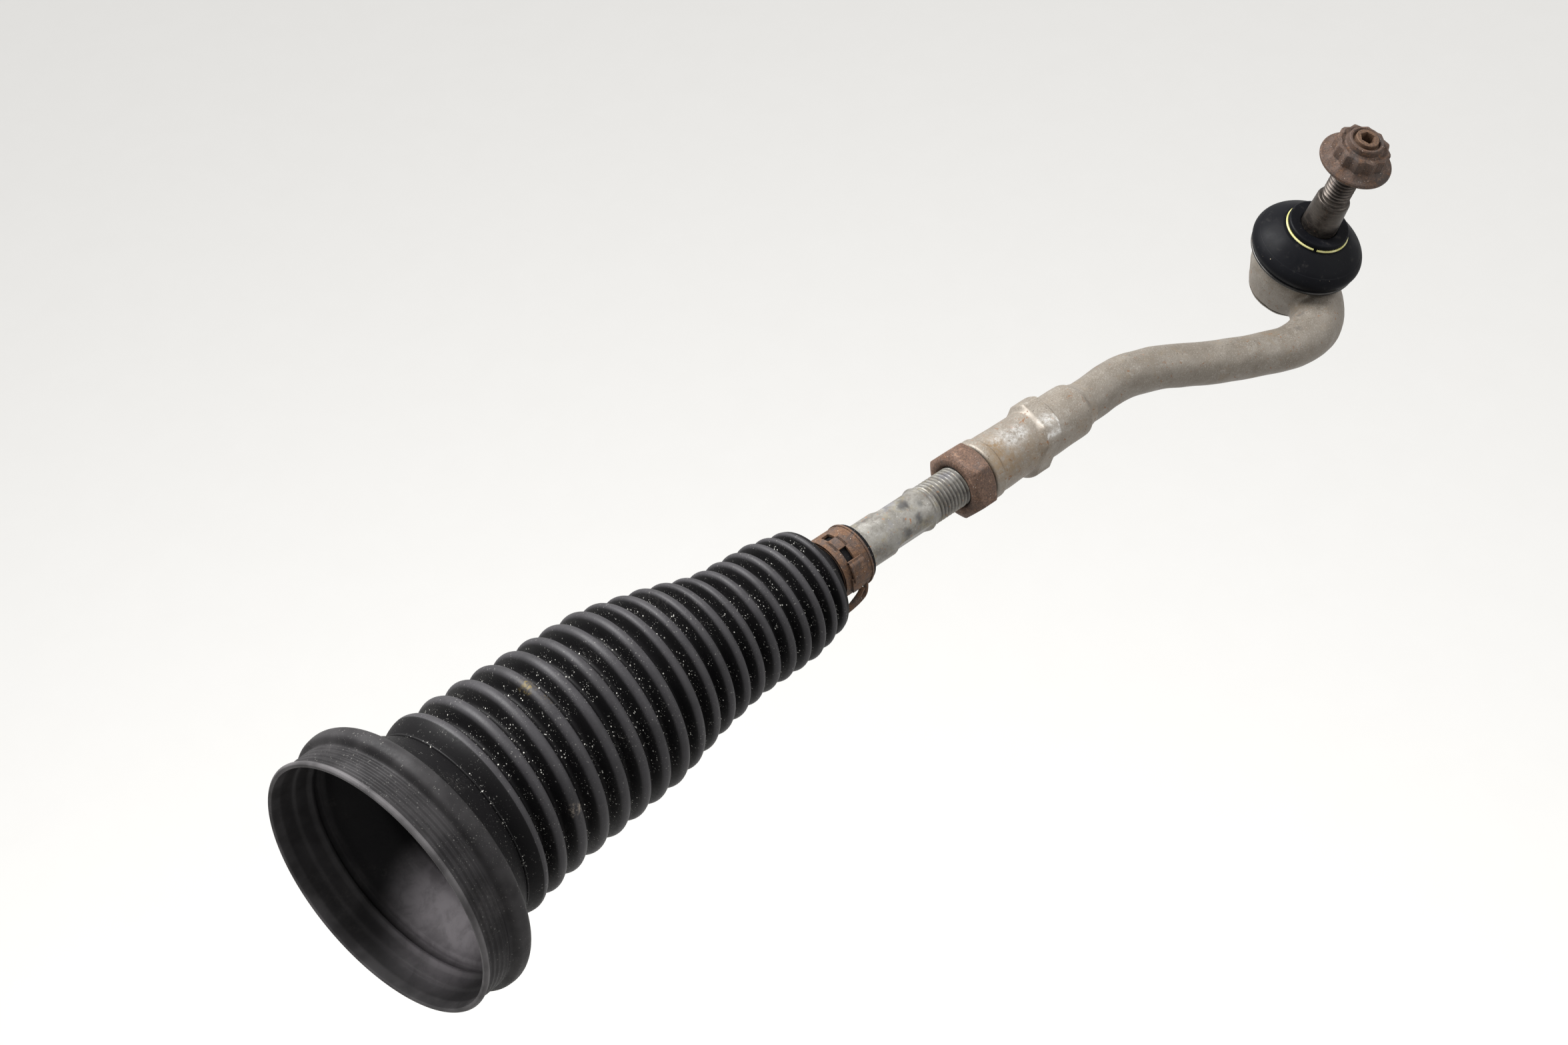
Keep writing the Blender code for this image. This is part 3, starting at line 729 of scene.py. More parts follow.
def barrel_piece():
    steps = 120
    block = np.minimum(polygon_radius(steps, 4, BLOCK_FLATS, 81.0), 11.8)
    rings = [pole(247.4), ring(247.4, 7.3, steps), ring(206.0, 7.3, steps), ring(204.9, 8.2, steps)]
    rim = rounded([
        (204.9, 8.3, 0.0), (204.9, 10.2, 0.4), (205.5, 10.7, 0.4), (208.8, 10.75, 0.4),
        (209.4, BARREL_R, 0.4), (211.0, BARREL_R, 0.0),
    ])
    rings += turned(rim, steps)
    for x in np.arange(212.0, 221.0, 1.0):
        rings.append(ring(x, BARREL_R - 0.25 * blend_step(x, 213.0, 221.0), steps))
    slant = block_shift(steps)
    for x in np.arange(221.2, 243.0, 0.2):
        there = x - slant
        share = blend_step(there, 226.4, 228.8) * (1.0 - blend_step(there, 235.0, 235.8))
        body_r = BARREL_R - 0.25 - 0.15 * blend_step(x, 236.0, 243.0)
        rings.append(ring(x, body_r + (block - body_r) * share, steps))
    for x in np.arange(243.5, 249.5, 1.0):
        rings.append(ring(x, BARREL_R - 0.4, steps))
    tail = rounded([
        (249.5, BARREL_R - 0.4, 0.0), (252.2, BARREL_R - 0.5, 0.7), (253.8, 8.5, 0.7),
        (256.0, 7.9, 1.0), (259.0, 7.2, 0.0), (259.0, 0.1, 0.0),
    ])
    rings += turned(tail, steps) + [pole(259.0)]
    for r in rings:
        radial = np.stack([np.zeros(len(r)), r[:, 1], r[:, 2]], axis=1)
        length = np.linalg.norm(radial, axis=1, keepdims=True)
        if length.min() > 9.0:
            r += radial / length * wobble(r, 0.08, 9.0, 3)[:, None]
    # the block is worn bright along its rear edge and one long corner
    angle = np.degrees(turn_angles(steps))
    wear = []
    for r in rings:
        if len(r) == 1:
            wear.append(0.0)
            continue
        there = r[0, 0] - slant
        rear = np.exp(-(((there - BLOCK_REAR_X) / 0.8) ** 2)) * ((angle > 98.0) & (angle < 131.0))
        corner = np.exp(-(((angle - 126.0) / 5.0) ** 2)) * ((there > 228.5) & (there < 235.6))
        wear.append(np.maximum(rear, corner))
    return coated(skin("tie_rod_end_barrel", rings, values={"wear": wear}), barrel_paint(), 32.0)


ARM_LINE = (
    (250.0, 0.0, 0.0, 7.6),
    (262.0, 0.0, 0.0, 7.6),
    (276.0, 0.3, -0.2, 7.65),
    (285.5, -1.6, -0.6, 7.65),
    (295.0, -4.6, -1.0, 7.65),
    (313.0, -13.0, -2.0, 7.65),
    (334.5, -20.8, -3.2, 7.7),
    (347.5, -24.0, -3.9, 8.1),
    (360.5, -22.9, -5.2, 9.0),
    (370.0, -17.0, -6.3, 9.9),
    (375.5, -8.5, -6.6, 10.3),
    (375.5, 0.0, -6.6, 9.7),
)


def swept_arm():
    """The cranked arm as a round tube through its line, with a Catmull-Rom curve between the bends."""
    path = smooth_line(ARM_LINE, 10)
    return tube("arm", path[:, :3], path[:, 3], 56)


def tube(name, path, radii, steps):
    """A closed round tube along a path of points that never runs straight up."""
    angle = turn_angles(steps)
    rings = []
    for here, radius, tangent in zip(path, radii, np.gradient(path, axis=0)):
        tangent = tangent / np.linalg.norm(tangent)
        side = np.cross([0.0, 0.0, 1.0], tangent)
        side /= np.linalg.norm(side)
        over = np.cross(tangent, side)
        rings.append(here + radius * (np.outer(np.cos(angle), side) + np.outer(np.sin(angle), over)))
    return skin(name, [path[:1]] + rings + [path[-1:]])


def lathe(name, profile, steps, axis, centre, loop=False):
    return skin(
        name,
        [ring(h, r, steps, axis, centre) if r > 0 else pole(h, axis, centre) for h, r in profile],
        loop,
    )


FORGING_VOXEL = 0.6
HEAD_PROFILE = [
    (-16.0, 0.5, 0.0),
    (-16.0, 12.9, 0.6),
    (-13.4, 13.9, 1.2),
    (-8.0, 15.4, 2.0),
    (-3.0, 16.9, 2.0),
    (2.0, 17.4, 0.9),
    (3.4, 16.4, 0.6),
    (3.4, 14.6, 0.4),
    (7.0, 14.6, 0.6),
    (7.0, 0.5, 0.0),
]


def tie_rod_end_piece():
    head = lathe("head", [(-16.0, 0.0)] + rounded(HEAD_PROFILE) + [(7.0, 0.0)], 96, "Z", OUTER_X)
    forging = joined("forging", [swept_arm(), head, barrel_piece_core()])
    modified(forging, "REMESH", mode="VOXEL", voxel_size=FORGING_VOXEL * MM)
    modified(forging, "SMOOTH", factor=0.5, iterations=14)
    points = np.array([v.co for v in forging.data.vertices]) / MM
    normals = np.array([v.normal for v in forging.data.vertices])
    points += normals * (wobble(points, 0.16, 11.0, 5) + wobble(points, 0.07, 4.0, 6))[:, None]
    forging.data.vertices.foreach_set("co", (points * MM).ravel())
    chamber = lathe(
        "chamber",
        [(12.0, 0.0), (12.0, 13.6)] + arc(13.7, 61.0, 90.0, 8) + [
            (-14.6, 13.7), (-14.6, 12.2), (-18.0, 12.2), (-18.0, 0.0)
        ],
        96,
        "Z",
        OUTER_X,
    )
    modified(forging, "BOOLEAN", operation="DIFFERENCE", solver="EXACT", object=chamber)
    bpy.data.objects.remove(chamber)
    body = joined("tie_rod_end_forging", [forging])
    smudges = (((356.0, -17.0, 2.0), 4.0, 0.35), ((347.0, -22.0, 3.5), 3.5, 0.3))
    return coated(body, smudged(forged_steel("forging_paint", 0.55), smudges).done(), 45.0)


def barrel_piece_core():
    """A plug inside the barrel that roots the arm."""
    return lathe(
        "core", [(249.0, 0.0), (249.0, 6.0), (256.0, 7.0), (262.0, 7.2), (262.0, 0.0)], 48, "X", 0.0
    )


def cover_piece():
    profile = [(-14.3, 0.0)] + rounded([
        (-14.3, 0.3, 0.0), (-14.3, 3.0, 0.6), (-14.9, 3.8, 0.6), (-14.9, 9.6, 0.6), (-14.2, 10.6, 0.6),
        (-14.2, 13.2, 0.2), (-12.7, 13.2, 0.2), (-12.7, 0.3, 0.0),
    ]) + [(-12.7, 0.0)]
    return coated(
        lathe("cover_plate_detail", profile, 96, "Z", OUTER_X),
        turned_steel("cover_paint", 2, (0.32, 0.315, 0.3), (0.52, 0.51, 0.48), 0.5, 0.36),
        35.0,
    )


# ---------------------------------------------------------------- outer joint
STUD_THREAD_DEPTH = 0.7


def stud_piece():
    steps = 96
    rings = [pole(-11.0, "Z", OUTER_X)]
    rings += turned(arc(11.0, 176.0, 33.7, 26), steps, "Z", OUTER_X)
    shank = rounded([
        (10.2, 6.1, 0.0), (14.5, 6.1, 1.0), (19.0, 6.6, 1.0), (22.0, 6.6, 0.5), (33.6, 6.12, 0.3),
        (34.4, 5.75, 0.25), (34.6, 4.5, 0.2), (35.3, 4.3, 0.2), (35.9, 4.3, 0.0),
    ])
    rings += turned(shank, steps, "Z", OUTER_X)
    groove = [0.0] * len(rings)
    for z in np.arange(36.0, 62.4, 0.14):
        dip = thread_depth(z, steps, THREAD_PITCH, STUD_THREAD_DEPTH, 35.7, 62.9, 0.25)
        rings.append(stud_ring(z, 5.05 - dip, steps))
        groove.append(dip / STUD_THREAD_DEPTH)
    end = rounded([(62.6, 4.9, 0.0), (63.0, 4.15, 0.2), (64.7, 4.1, 0.4), (64.7, 3.1, 0.0)])
    rings += turned(end, steps, "Z", OUTER_X)
    socket = polygon_radius(steps, 6, 4.7, 15.0)
    rings += [stud_ring(64.7, socket + 0.12, steps), stud_ring(64.4, socket, steps)]
    rings += [stud_ring(60.4, socket, steps), pole(60.0, "Z", OUTER_X)]
    groove += [0.0] * (len(rings) - len(groove))
    return coated(
        skin("ball_stud_detail", rings, values={"groove": groove}),
        turned_steel("stud_paint", 2, (0.024, 0.02, 0.018), (0.075, 0.065, 0.057), 0.7, 0.42, 0.0585),
        40.0,
    )


def flange_nut_piece():
    steps = 240
    points = np.maximum(polygon_radius(steps, 6, 17.5, 0.0), polygon_radius(steps, 6, 17.5, 30.0))
    points = np.minimum(points, 9.95)
    base = [(52.6, 5.9), (52.6, 12.4), (52.85, 12.85), (53.3, 13.0), (53.9, 12.95), (54.3, 12.6)]
    rings = turned(base, steps, "Z", OUTER_X)
    # the cone climbs further where the wrenching points stand out, which leaves scallops between them
    for t in np.linspace(0.12, 1.0, 9):
        rings.append(stud_ring(54.3 + 2.0 * t**1.5, 12.6 + (points - 12.6) * t, steps))
    rings += [stud_ring(h, points, steps) for h in (57.4, 60.4)]
    rings.append(stud_ring(61.2, points - 0.35, steps))
    rings.append(stud_ring(61.6, np.minimum(points - 1.1, 8.4), steps))
    crown = [
        (61.2, 7.3), (61.2, 6.9), (61.5, 6.4), (63.5, 6.2), (63.9, 5.9), (63.9, 5.3), (63.4, 4.85),
        (62.6, 4.75), (61.5, 5.2), (53.3, 5.2),
    ]
    rings += turned(crown, steps, "Z", OUTER_X)
    made = skin("flange_nut_detail", rings, loop=True)
    return coated(made, rusty("flange_nut_paint", 0.5, 0.6, 0.6), 24.0)


def smooth_line(points, per_span=6):
    """A Catmull-Rom curve through points."""
    line = np.array(points, float)
    ends = np.concatenate([[2 * line[0] - line[1]], line, [2 * line[-1] - line[-2]]])
    made = []
    for i in range(1, len(ends) - 2):
        p0, p1, p2, p3 = ends[i - 1 : i + 3]
        for t in np.linspace(0.0, 1.0, per_span, endpoint=False):
            made.append(
                0.5 * (
                    2 * p1
                    + (p2 - p0) * t
                    + (2 * p0 - 5 * p1 + 4 * p2 - p3) * t**2
                    + (3 * p1 - p0 - 3 * p2 + p3) * t**3
                )
            )
    return np.array(made + [line[-1]])


def boot_profile():
    """The boot's section: a dome that bulges low, a bead at its foot and a flange round the shank."""
    outer = rounded(
        [(4.3, 16.8, 0.0), (4.3, 18.9, 0.4), (4.8, 19.4, 0.3), (5.5, 19.4, 0.3), (5.9, 18.9, 0.2)]
    )
    dome = [
        (5.9, 18.9), (6.7, 19.9), (8.6, 20.5), (10.6, 20.0), (12.8, 18.4), (14.8, 16.2), (16.6, 13.9),
        (17.6, 12.3),
    ]
    outer += [tuple(p) for p in smooth_line(dome)][1:]
    outer += rounded([
        (17.6, 12.3, 0.0), (17.7, 11.5, 0.3), (17.9, 10.85, 0.3), (18.9, 10.8, 0.2), (19.1, 11.2, 0.2),
        (20.4, 11.2, 0.5), (20.9, 10.6, 0.3), (20.6, 8.6, 0.6), (20.4, 7.1, 0.3), (20.1, 6.62, 0.0),
    ])[1:]
    inner = rounded(
        [(17.3, 6.62, 0.0), (16.9, 7.2, 0.3), (16.4, 9.6, 0.6), (15.0, 12.6, 0.6), (13.0, 15.2, 0.6)]
    )
    inner += [(10.8, 17.2), (9.0, 18.3), (7.9, 17.6), (7.2, 15.1), (4.3, 15.1)]
    return outer, inner


def split_profile(profile, height):
    """The part of a rising or falling profile on each side of a height, both holding the crossing."""
    for i, (a, b) in enumerate(zip(profile, profile[1:])):
        if (a[0] - height) * (b[0] - height) <= 0.0 and a[0] != b[0]:
            t = (height - a[0]) / (b[0] - a[0])
            cross = (height, a[1] + (b[1] - a[1]) * t)
            return profile[: i + 1] + [cross], [cross] + profile[i + 1 :]
    raise ValueError("the profile never crosses that height")


BOOT_SEAM_Z = 12.4


def boot_pieces():
    outer, inner = boot_profile()
    low_out, high_out = split_profile(outer, BOOT_SEAM_Z)
    high_in, low_in = split_profile(inner, BOOT_SEAM_Z)
    paint = rubber_boot()
    made = []
    for name, profile in (("dust_boot_lower", low_out + low_in), ("dust_boot_upper", high_out + high_in)):
        made.append(coated(lathe(name, divided(profile, 0.6), 120, "Z", OUTER_X, loop=True), paint, 60.0))
    return made


RING_GAP_DEG = 216.0
RING_HALF_GAP_DEG = 3.2
UPPER_RING_R = 11.2
UPPER_RING_Z = 18.4
LOWER_RING_R = 19.25
LOWER_RING_Z = 4.9


def circle_path(radius, height, first_deg, last_deg, count):
    """Points along part of a circle round the outer stud's axis."""
    angles = np.radians(np.linspace(first_deg, last_deg, count))
    return np.stack(
        [OUTER_X + radius * np.cos(angles), radius * np.sin(angles), np.full(count, height)], axis=1
    )


def boot_ring_pieces():
    first = RING_GAP_DEG + RING_HALF_GAP_DEG
    last = RING_GAP_DEG + 360.0 - RING_HALF_GAP_DEG
    path = circle_path(UPPER_RING_R, UPPER_RING_Z, first, last, 150)
    upper = coated(
        tube("boot_upper_ring_detail", path, np.full(len(path), 0.42), 14),
        plastic("yellow_ring_paint", (0.3, 0.285, 0.07), (0.42, 0.4, 0.2), 0.4, 4.0),
        60.0,
    )
    path = circle_path(LOWER_RING_R, LOWER_RING_Z, 30.0, 385.0, 200)
    lower = coated(
        tube("boot_lower_ring_detail", path, np.full(len(path), 0.55), 12),
        turned_steel("lower_ring_paint", 2, (0.02, 0.02, 0.02), (0.05, 0.048, 0.045), 0.2, 0.4),
        60.0,
    )
    return upper, lower


# ---------------------------------------------------------------- bellows
FIRST_CREST_X = -4.6
FOLDS = 18
FIRST_PITCH = 9.0
PITCH_DROP = 3.15


def crest_radius(x):
    """Radius over the crests: nearly even first, then a straight taper, then the folds by the cuff."""
    places = (-15.0, -4.6, 16.0, 57.0, 66.0, 84.0, 95.0, 118.0, 126.0, 134.0)
    radii = (33.3, 32.9, 31.5, 29.5, 27.3, 23.5, 21.1, 20.4, 18.8, 17.0)
    return float(np.interp(x, places, radii))


def crest_places():
    places = [FIRST_CREST_X]
    for i in range(FOLDS):
        places.append(places[-1] + FIRST_PITCH - PITCH_DROP * i / (FOLDS - 1))
    return places


def fold_rows(parts):
    """(x, radius, crest, valley) along the folds: flat worn crests with deep narrow valleys."""
    rows = []
    places = crest_places()
    for i, (a, b) in enumerate(zip(places, places[1:])):
        deep = 5.0 - 0.9 * i / (FOLDS - 1)
        for k in range(parts):
            u = k / parts
            off = 0.5 - abs(u - 0.5)
            slope = min(1.0, max(0.0, (off - 0.13) / 0.33))
            dip = 0.06 * min(1.0, off / 0.13) ** 2 + 0.94 * slope * slope * (3.0 - 2.0 * slope)
            x = a + (b - a) * u
            rows.append((x, crest_radius(x) - deep * dip, 1.0 - dip, dip))
    rows.append((places[-1], crest_radius(places[-1]), 1.0, 0.0))
    return rows


def sideways_offset(x):
    """How far the soft bellows sags off the rod's axis at this place, along SAG_SIDE."""
    places = (-45.0, -30.0, -4.6, 16.0, 39.0, 60.0, 78.0, 93.0, 106.0, 124.0, 134.0, 150.0)
    shifts = (6.0, 5.0, 2.0, 0.4, -0.35, -1.2, -1.4, -0.2, 0.35, 0.35, 0.0, 0.0)
    near = np.linspace(-5.0, 5.0, 11)
    return np.mean([np.interp(x + d, places, shifts) for d in near], axis=0)


SAG_SIDE = (-0.905, -0.426)
MOUTH_TILT = (-0.13, 0.066)


def bellows_bend(points):
    """Lays a ring of the bellows where the soft part sags to, with the mouth's plane tilted a little."""
    tilt = blend_step(points[:, 0], 14.0, -26.0)
    shift = sideways_offset(points[:, 0])
    points[:, 0] += tilt * (MOUTH_TILT[0] * points[:, 1] + MOUTH_TILT[1] * points[:, 2])
    points[:, 1] += SAG_SIDE[0] * shift
    points[:, 2] += SAG_SIDE[1] * shift
    return points


def bellows_piece():
    steps = 144
    lip = [(-38.9, 40.6, 0.0), (-39.2, 41.6, 0.4), (-38.3, 42.3, 0.5), (-37.2, 41.6, 0.4)]
    for x in (-36.3, -34.6, -32.9, -31.2):
        lip += [(x, 41.0, 0.35), (x + 0.85, 41.55, 0.35)]
    lip += [
        (-29.6, 41.0, 0.4), (-28.9, 41.2, 0.4), (-27.9, 43.4, 0.9), (-24.9, 43.8, 1.4), (-22.9, 42.6, 1.0),
        (-22.3, 41.3, 0.5),
    ]
    lip = rounded(lip, 4)
    flank = [
        tuple(q)
        for q in smooth_line(
            [(-22.3, 41.3), (-21.2, 39.6), (-18.8, 37.0), (-16.2, 34.6), (-13.6, 32.6), (-11.6, 31.1)]
        )
    ]
    bead = [
        (-11.0 + 0.45 * math.sin(a), 30.9 + 0.45 * math.cos(a))
        for a in np.radians(np.linspace(-80.0, 80.0, 7))
    ]
    bead += [(-10.3, 30.5)]
    outer = []
    for x, r in divided(lip, 0.6):
        outer.append((x, r, 0.0, 0.1, 0.0, 1.0 if x < -37.4 else 0.3))
    outer += [(x, r, 0.0, 0.1, 0.0, 0.0) for x, r in divided(flank[1:], 0.9)]
    outer += [(x, r, 0.35, 1.0, 0.0, 0.0) for x, r in bead]
    top = crest_radius(FIRST_CREST_X)
    for u in (0.1, 0.25, 0.4, 0.55, 0.7, 0.8, 0.88, 0.95):
        x = -10.3 + (FIRST_CREST_X + 10.3) * u
        rise = math.sin(math.pi / 2 * u)
        outer.append((x, 30.5 + (top - 30.5) * rise, 1.0 if u > 0.8 else 0.0, 0.3, 0.0, 0.0))
    folds = fold_rows(18)
    outer += [(*row, 0.0, 0.0) for row in folds]
    last_x, last_r = folds[-1][0], folds[-1][1]
    neck = rounded(
        [
            (last_x, last_r, 0.0), (last_x + 1.7, last_r - 0.6, 0.8), (last_x + 3.6, 11.2, 1.4),
            (134.6, 9.3, 0.9), (136.0, 9.2, 0.3), (148.4, 9.2, 0.2), (148.7, 10.0, 0.3),
            (149.9, 9.95, 0.3), (150.1, 9.2, 0.3), (150.1, 7.9, 0.0),
        ],
        4,
    )
    outer += [(x, r, 0.0, 0.3, 0.0, 0.0) for x, r in divided(neck[1:], 1.2)]
    inner = [(134.8, 7.9), (132.6, 10.0)]
    inner += [(x, r - 1.45 - 0.35 * (1.0 - valley)) for x, r, _, valley in reversed(fold_rows(8))]
    throat = [
        tuple(q)
        for q in smooth_line(
            [(-9.4, 29.0), (-12.2, 29.9), (-14.4, 31.3), (-17.6, 33.9), (-20.4, 36.2), (-22.6, 37.4)]
        )
    ]
    # a dark recess, a raised ring and a step run round the inside of the mouth
    steps_in = rounded(
        [
            (-22.6, 37.4, 0.0), (-23.4, 39.3, 0.5), (-25.4, 39.5, 0.5), (-26.0, 37.7, 0.3),
            (-27.0, 37.6, 0.4), (-27.8, 38.8, 0.5), (-31.6, 39.2, 0.5), (-32.1, 39.9, 0.5),
            (-37.0, 40.3, 0.6), (-38.6, 40.5, 0.0),
        ],
        3,
    )
    inner += divided(throat, 1.2) + divided(steps_in[1:], 0.9)
    rows = outer + [
        (x, r, 0.0, 0.0, 1.0, 0.55 if x < -36.0 else 0.25 if x < -22.7 else 0.0) for x, r in inner
    ]
    rings = [bellows_bend(ring(row[0], row[1], steps)) for row in rows]
    names = ("crest", "valley", "inside", "lip")
    made = skin(
        "bellows_detail",
        rings,
        loop=True,
        values={name: [row[i + 2] for row in rows] for i, name in enumerate(names)},
    )
    return coated(made, rubber_bellows(), 50.0)


# ---------------------------------------------------------------- spring clamp
BAND_STEP_DEG = 2.0
BAND_COLUMNS = 3


def band_patch(name, x_range, turn, radius, thick):
    """A curved strip of sheet round the rod; x_range and radius may be functions of the angle."""
    count = max(4, int(abs(turn[1] - turn[0]) / BAND_STEP_DEG))
    angles = np.linspace(turn[0], turn[1], count + 1)
    rings = []
    for deg in angles:
        low, high = x_range(deg) if callable(x_range) else x_range
        r = radius(deg) if callable(radius) else radius
        a = math.radians(deg)
        side = np.linspace(low, high, BAND_COLUMNS + 1)
        over = [(x, r + thick) for x in side]
        under = [(x, r) for x in side[::-1]]
        rings.append(np.array([(x, q * math.cos(a), q * math.sin(a)) for x, q in over + under]))
    rings = [rings[0].mean(axis=0, keepdims=True)] + rings + [rings[-1].mean(axis=0, keepdims=True)]
    return skin(name, rings)


def clamp_piece():
    inner_r, sheet = 9.5, 0.85

    def step_sides(deg):
        share = blend_step(deg, 160.0, 178.0)
        return 138.7 + 0.5 * share, 144.0 - 1.4 * share

    # the band runs in strips beside its slot and window, and whole elsewhere; then its folded tab
    strips = (
        ("left", (136.5, 139.6), (36.0, 176.0), inner_r, sheet),
        ("right", (142.6, 148.4), (36.0, 176.0), inner_r, sheet),
        ("start", (138.6, 143.6), (36.0, 47.0), inner_r, sheet),
        ("bridge_a", (138.6, 143.6), (66.0, 92.0), inner_r, sheet),
        ("bridge_b", (138.6, 143.6), (121.0, 176.0), inner_r, sheet),
        ("rest", (136.5, 148.4), (174.0, 398.0), inner_r, sheet),
        ("rim_left", (136.5, 137.2), (0.0, 359.0), inner_r + 0.5, 0.65),
        ("rim_right", (147.7, 148.4), (0.0, 359.0), inner_r + 0.5, 0.65),
        (
            "tab",
            (139.2, 144.9),
            (120.0, 156.0),
            lambda d: inner_r + 0.7 + 0.9 * blend_step(d, 118.0, 128.0),
            0.8,
        ),
        ("tab_lip", (139.2, 144.9), (119.0, 123.0), inner_r + 0.3, 1.6),
        ("step", step_sides, (150.0, 180.0), inner_r + 0.8, 0.9),
    )
    band = joined("band", [band_patch(*strip) for strip in strips])
    # the hook: a loop of the band's end that leaves it and hangs under it, open in the middle
    outer = [
        (146.2, -9.4, 0.0), (146.5, -10.3, -3.2), (146.3, -10.9, -6.0), (144.9, -11.2, -7.9),
        (142.0, -11.4, -9.2), (138.4, -11.4, -10.5),
    ]
    inner = [(144.9, -10.3, -2.8), (143.7, -10.8, -5.4), (141.6, -11.1, -7.7), (139.2, -11.3, -9.9)]
    hook = joined(
        "hook", [strip_along("hook_outer", outer, 0.95, 1.9), strip_along("hook_inner", inner, 0.9, 1.7)]
    )
    made = joined("bellows_clamp_detail", [band, hook])
    return coated(made, rusty("clamp_paint", 0.8, 0.4, 0.6), 35.0)


def strip_along(name, path, thick, wide):
    """A strip of sheet on edge along a path: thick in the plane of its bend and wide away from the rod."""
    dense = smooth_line(path)
    angle = turn_angles(12)
    soft = [np.abs(wave) ** 0.6 * np.sign(wave) for wave in (np.cos(angle), np.sin(angle))]
    rings = []
    for here, tangent in zip(dense, np.gradient(dense, axis=0)):
        tangent = tangent / np.linalg.norm(tangent)
        away = np.array([0.0, here[1], here[2]])
        away = away - tangent * (away @ tangent)
        away /= np.linalg.norm(away)
        across = np.cross(tangent, away)
        rings.append(here + np.outer(soft[0] * thick / 2.0, across) + np.outer(soft[1] * wide / 2.0, away))
    return skin(name, [dense[:1]] + rings + [dense[-1:]])


# ---------------------------------------------------------------- the assembly
def place(obj, body, node):
    """Puts a detailed piece on its body in place of a CAD node."""
    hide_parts(node)
    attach(obj, body)


place(inner_rod_piece(), "rod", "inner_rod")
place(inner_housing_piece(), "inner_housing", "inner_joint_housing")
place(jam_nut_piece(), "jam_nut", "jam_nut")

place(barrel_piece(), "tie_rod_end", "tie_rod_end_body")
place(tie_rod_end_piece(), "tie_rod_end", "tie_rod_end_body")
place(cover_piece(), "tie_rod_end", "cover_plate")

place(stud_piece(), "stud", "ball_stud")
place(flange_nut_piece(), "flange_nut", "flange_nut")

boot_lower, boot_upper = boot_pieces()
for piece in (boot_lower, boot_upper):
    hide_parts("dust_boot")
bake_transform(boot_lower)
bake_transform(boot_upper)

upper_ring, lower_ring = boot_ring_pieces()
place(upper_ring, "boot_ring", "boot_upper_ring")
place(lower_ring, "tie_rod_end", "boot_lower_ring")

bellows = bellows_piece()
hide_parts("bellows")
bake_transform(bellows)
place(clamp_piece(), "clamp", "bellows_clamp")

# the CAD solids that stay get their own finishes
for node_name, paint in (
    ("inner_ball_seat", plastic("inner_seat_paint", (0.62, 0.6, 0.54), (0.76, 0.74, 0.68), 0.35, 6.0)),
    ("inner_preload_disc", plastic("inner_disc_paint", (0.2, 0.19, 0.17), (0.32, 0.3, 0.27), 0.5, 4.0)),
    ("ball_seat", plastic("outer_seat_paint", (0.66, 0.64, 0.58), (0.8, 0.78, 0.71), 0.35, 6.0)),
    (
        "seat_preload_ring",
        plastic("preload_ring_paint", (0.02, 0.02, 0.021), (0.045, 0.044, 0.043), 0.6, 4.0),
    ),
):
    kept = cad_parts[node_name]
    kept.data.materials.clear()
    kept.data.materials.append(paint)


# ---------------------------------------------------------------- floor, light and camera
FLOOR_HALF = 6.0
SENSOR_MM = 36.0
LENS_MM = 55.1
WORLD_STRENGTH = 0.8
FLOOR_UP = Vector((-0.0645, 0.229, 0.972)).normalized()
EYE = Vector((-245.0, -222.5, 604.8)) * MM
EYE_RIGHT = Vector((0.728, -0.6555, 0.198))
EYE_FORWARD = Vector((0.507, 0.322, -0.799))


def lowest_along(direction):
    """How far down the pieces reach, measured along this direction."""
    graph = bpy.context.evaluated_depsgraph_get()
    low = math.inf
    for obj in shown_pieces():
        mesh = obj.evaluated_get(graph).to_mesh()
        co = np.empty(len(mesh.vertices) * 3, np.float32)
        mesh.vertices.foreach_get("co", co)
        world = np.array(obj.matrix_world)
        points = co.reshape(-1, 3) @ world[:3, :3].T + world[:3, 3]
        low = min(low, float((points @ np.array(direction)).min()))
        obj.evaluated_get(graph).to_mesh_clear()
    return low


def floor_paint():
    p = Paint("floor_paint", roughness=0.75)
    p.colour = p.mix(p.noise(60.0, 3.0), (0.86, 0.853, 0.835), (0.88, 0.874, 0.858))
    p.relief = p.bump(p.noise(0.8), 0.05, 0.02)
    return p.done(Specular_IOR_Level=0.2)


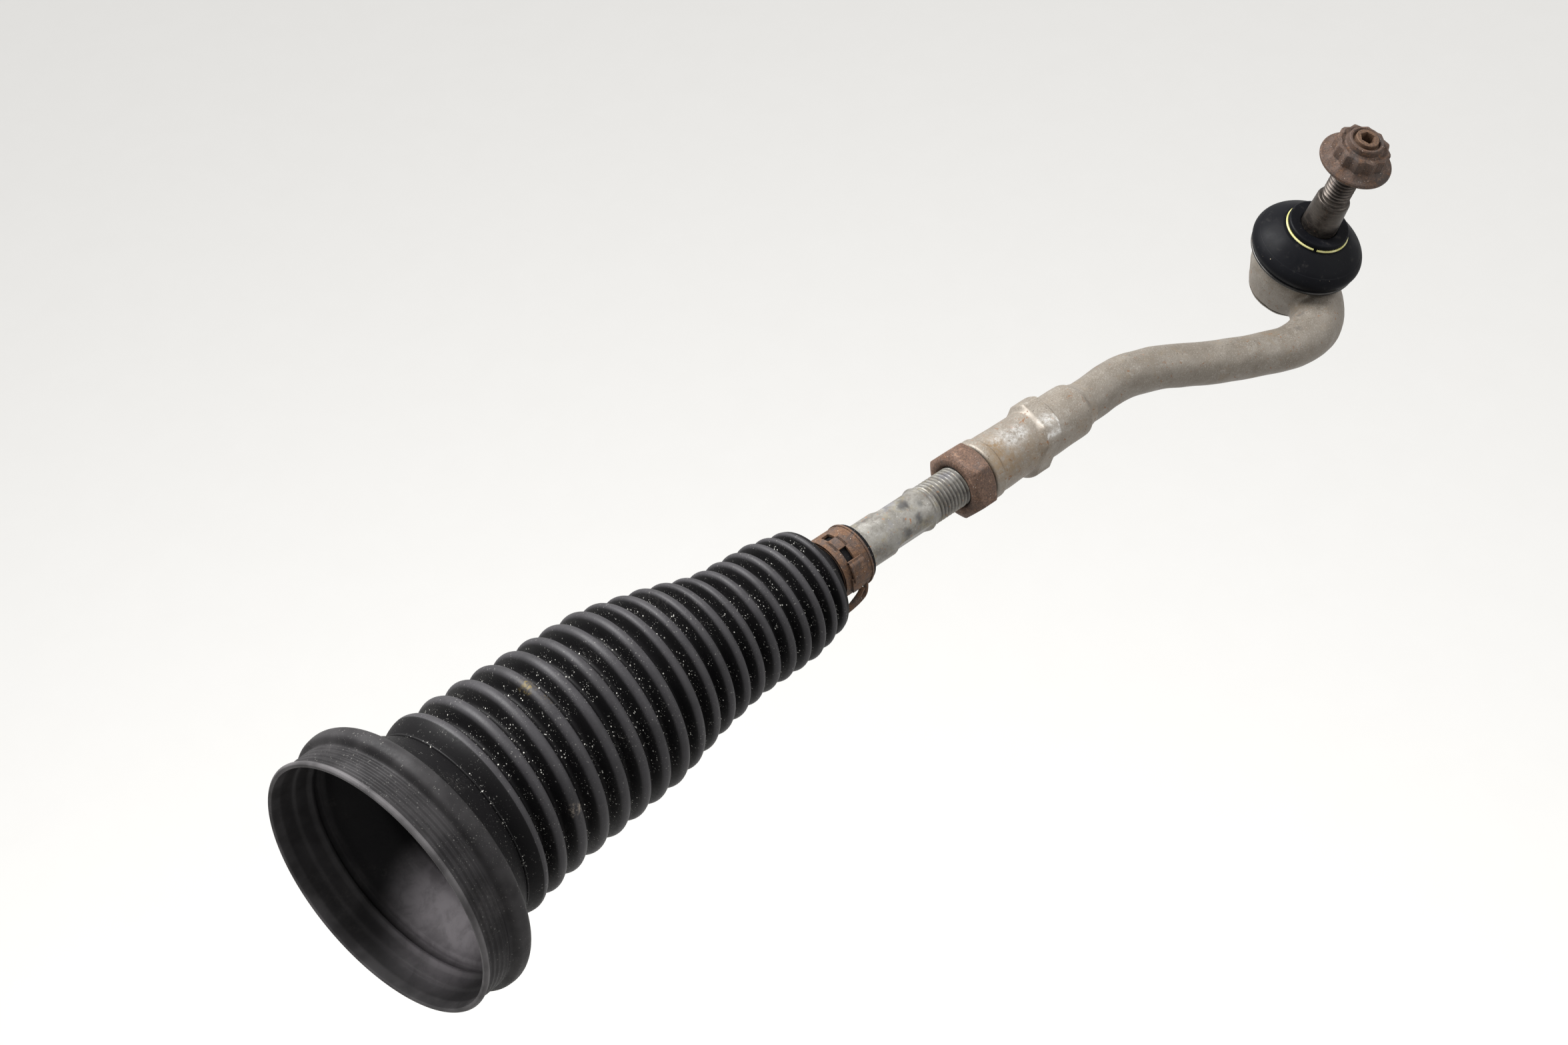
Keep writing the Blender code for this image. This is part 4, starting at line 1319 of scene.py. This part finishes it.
def facing(where, direction, axis):
    """A matrix that moves to a place and turns this axis to a direction."""
    return Matrix.Translation(where) @ direction.to_track_quat(axis, "Y").to_matrix().to_4x4()


def build_floor():
    mesh = bpy.data.meshes.new("studio_floor")
    half = FLOOR_HALF
    mesh.from_pydata(
        [(-half, -half, 0.0), (half, -half, 0.0), (half, half, 0.0), (-half, half, 0.0)], [], [(0, 1, 2, 3)]
    )
    floor = linked("studio_floor", mesh)
    floor.matrix_world = facing(FLOOR_UP * lowest_along(FLOOR_UP), FLOOR_UP, "Z")
    mesh.materials.append(floor_paint())


def build_camera():
    data = bpy.data.cameras.new("camera")
    data.sensor_width = SENSOR_MM
    data.lens = LENS_MM
    data.clip_start = 0.01
    forward = EYE_FORWARD.normalized()
    right = (EYE_RIGHT - forward * EYE_RIGHT.dot(forward)).normalized()
    up = right.cross(forward)
    camera = linked("camera", data)
    basis = Matrix((right, up, -forward)).transposed().to_4x4()
    camera.matrix_world = Matrix.Translation(EYE) @ basis
    bpy.context.scene.camera = camera
    return up


def soft_light(name, place_at, aim, size, power):
    data = bpy.data.lights.new(name, "AREA")
    data.shape = "DISK"
    data.size = size
    data.energy = power
    lamp = linked(name, data)
    lamp.matrix_world = facing(place_at, (aim - place_at).normalized(), "-Z")


build_floor()
up = build_camera()
middle = Vector((0.17, 0.0, 0.0))
# light comes from the upper left of the picture and from high above the floor
ahead_flat = (up - FLOOR_UP * up.dot(FLOOR_UP)).normalized()
side_flat = FLOOR_UP.cross(ahead_flat).normalized() * -1.0
soft_light("key", middle + FLOOR_UP * 0.85 - side_flat * 0.55 + ahead_flat * 0.45, middle, 0.7, 39.0)
soft_light("fill", middle + FLOOR_UP * 0.7 + side_flat * 0.8 - ahead_flat * 0.1, middle, 1.2, 7.5)
world = bpy.data.worlds.new("studio")
bpy.context.scene.world = world
world.use_nodes = True
world.node_tree.nodes["Background"].inputs["Color"].default_value = (1.0, 0.995, 0.985, 1.0)
world.node_tree.nodes["Background"].inputs["Strength"].default_value = WORLD_STRENGTH

bpy.context.scene.view_settings.view_transform = "Standard"
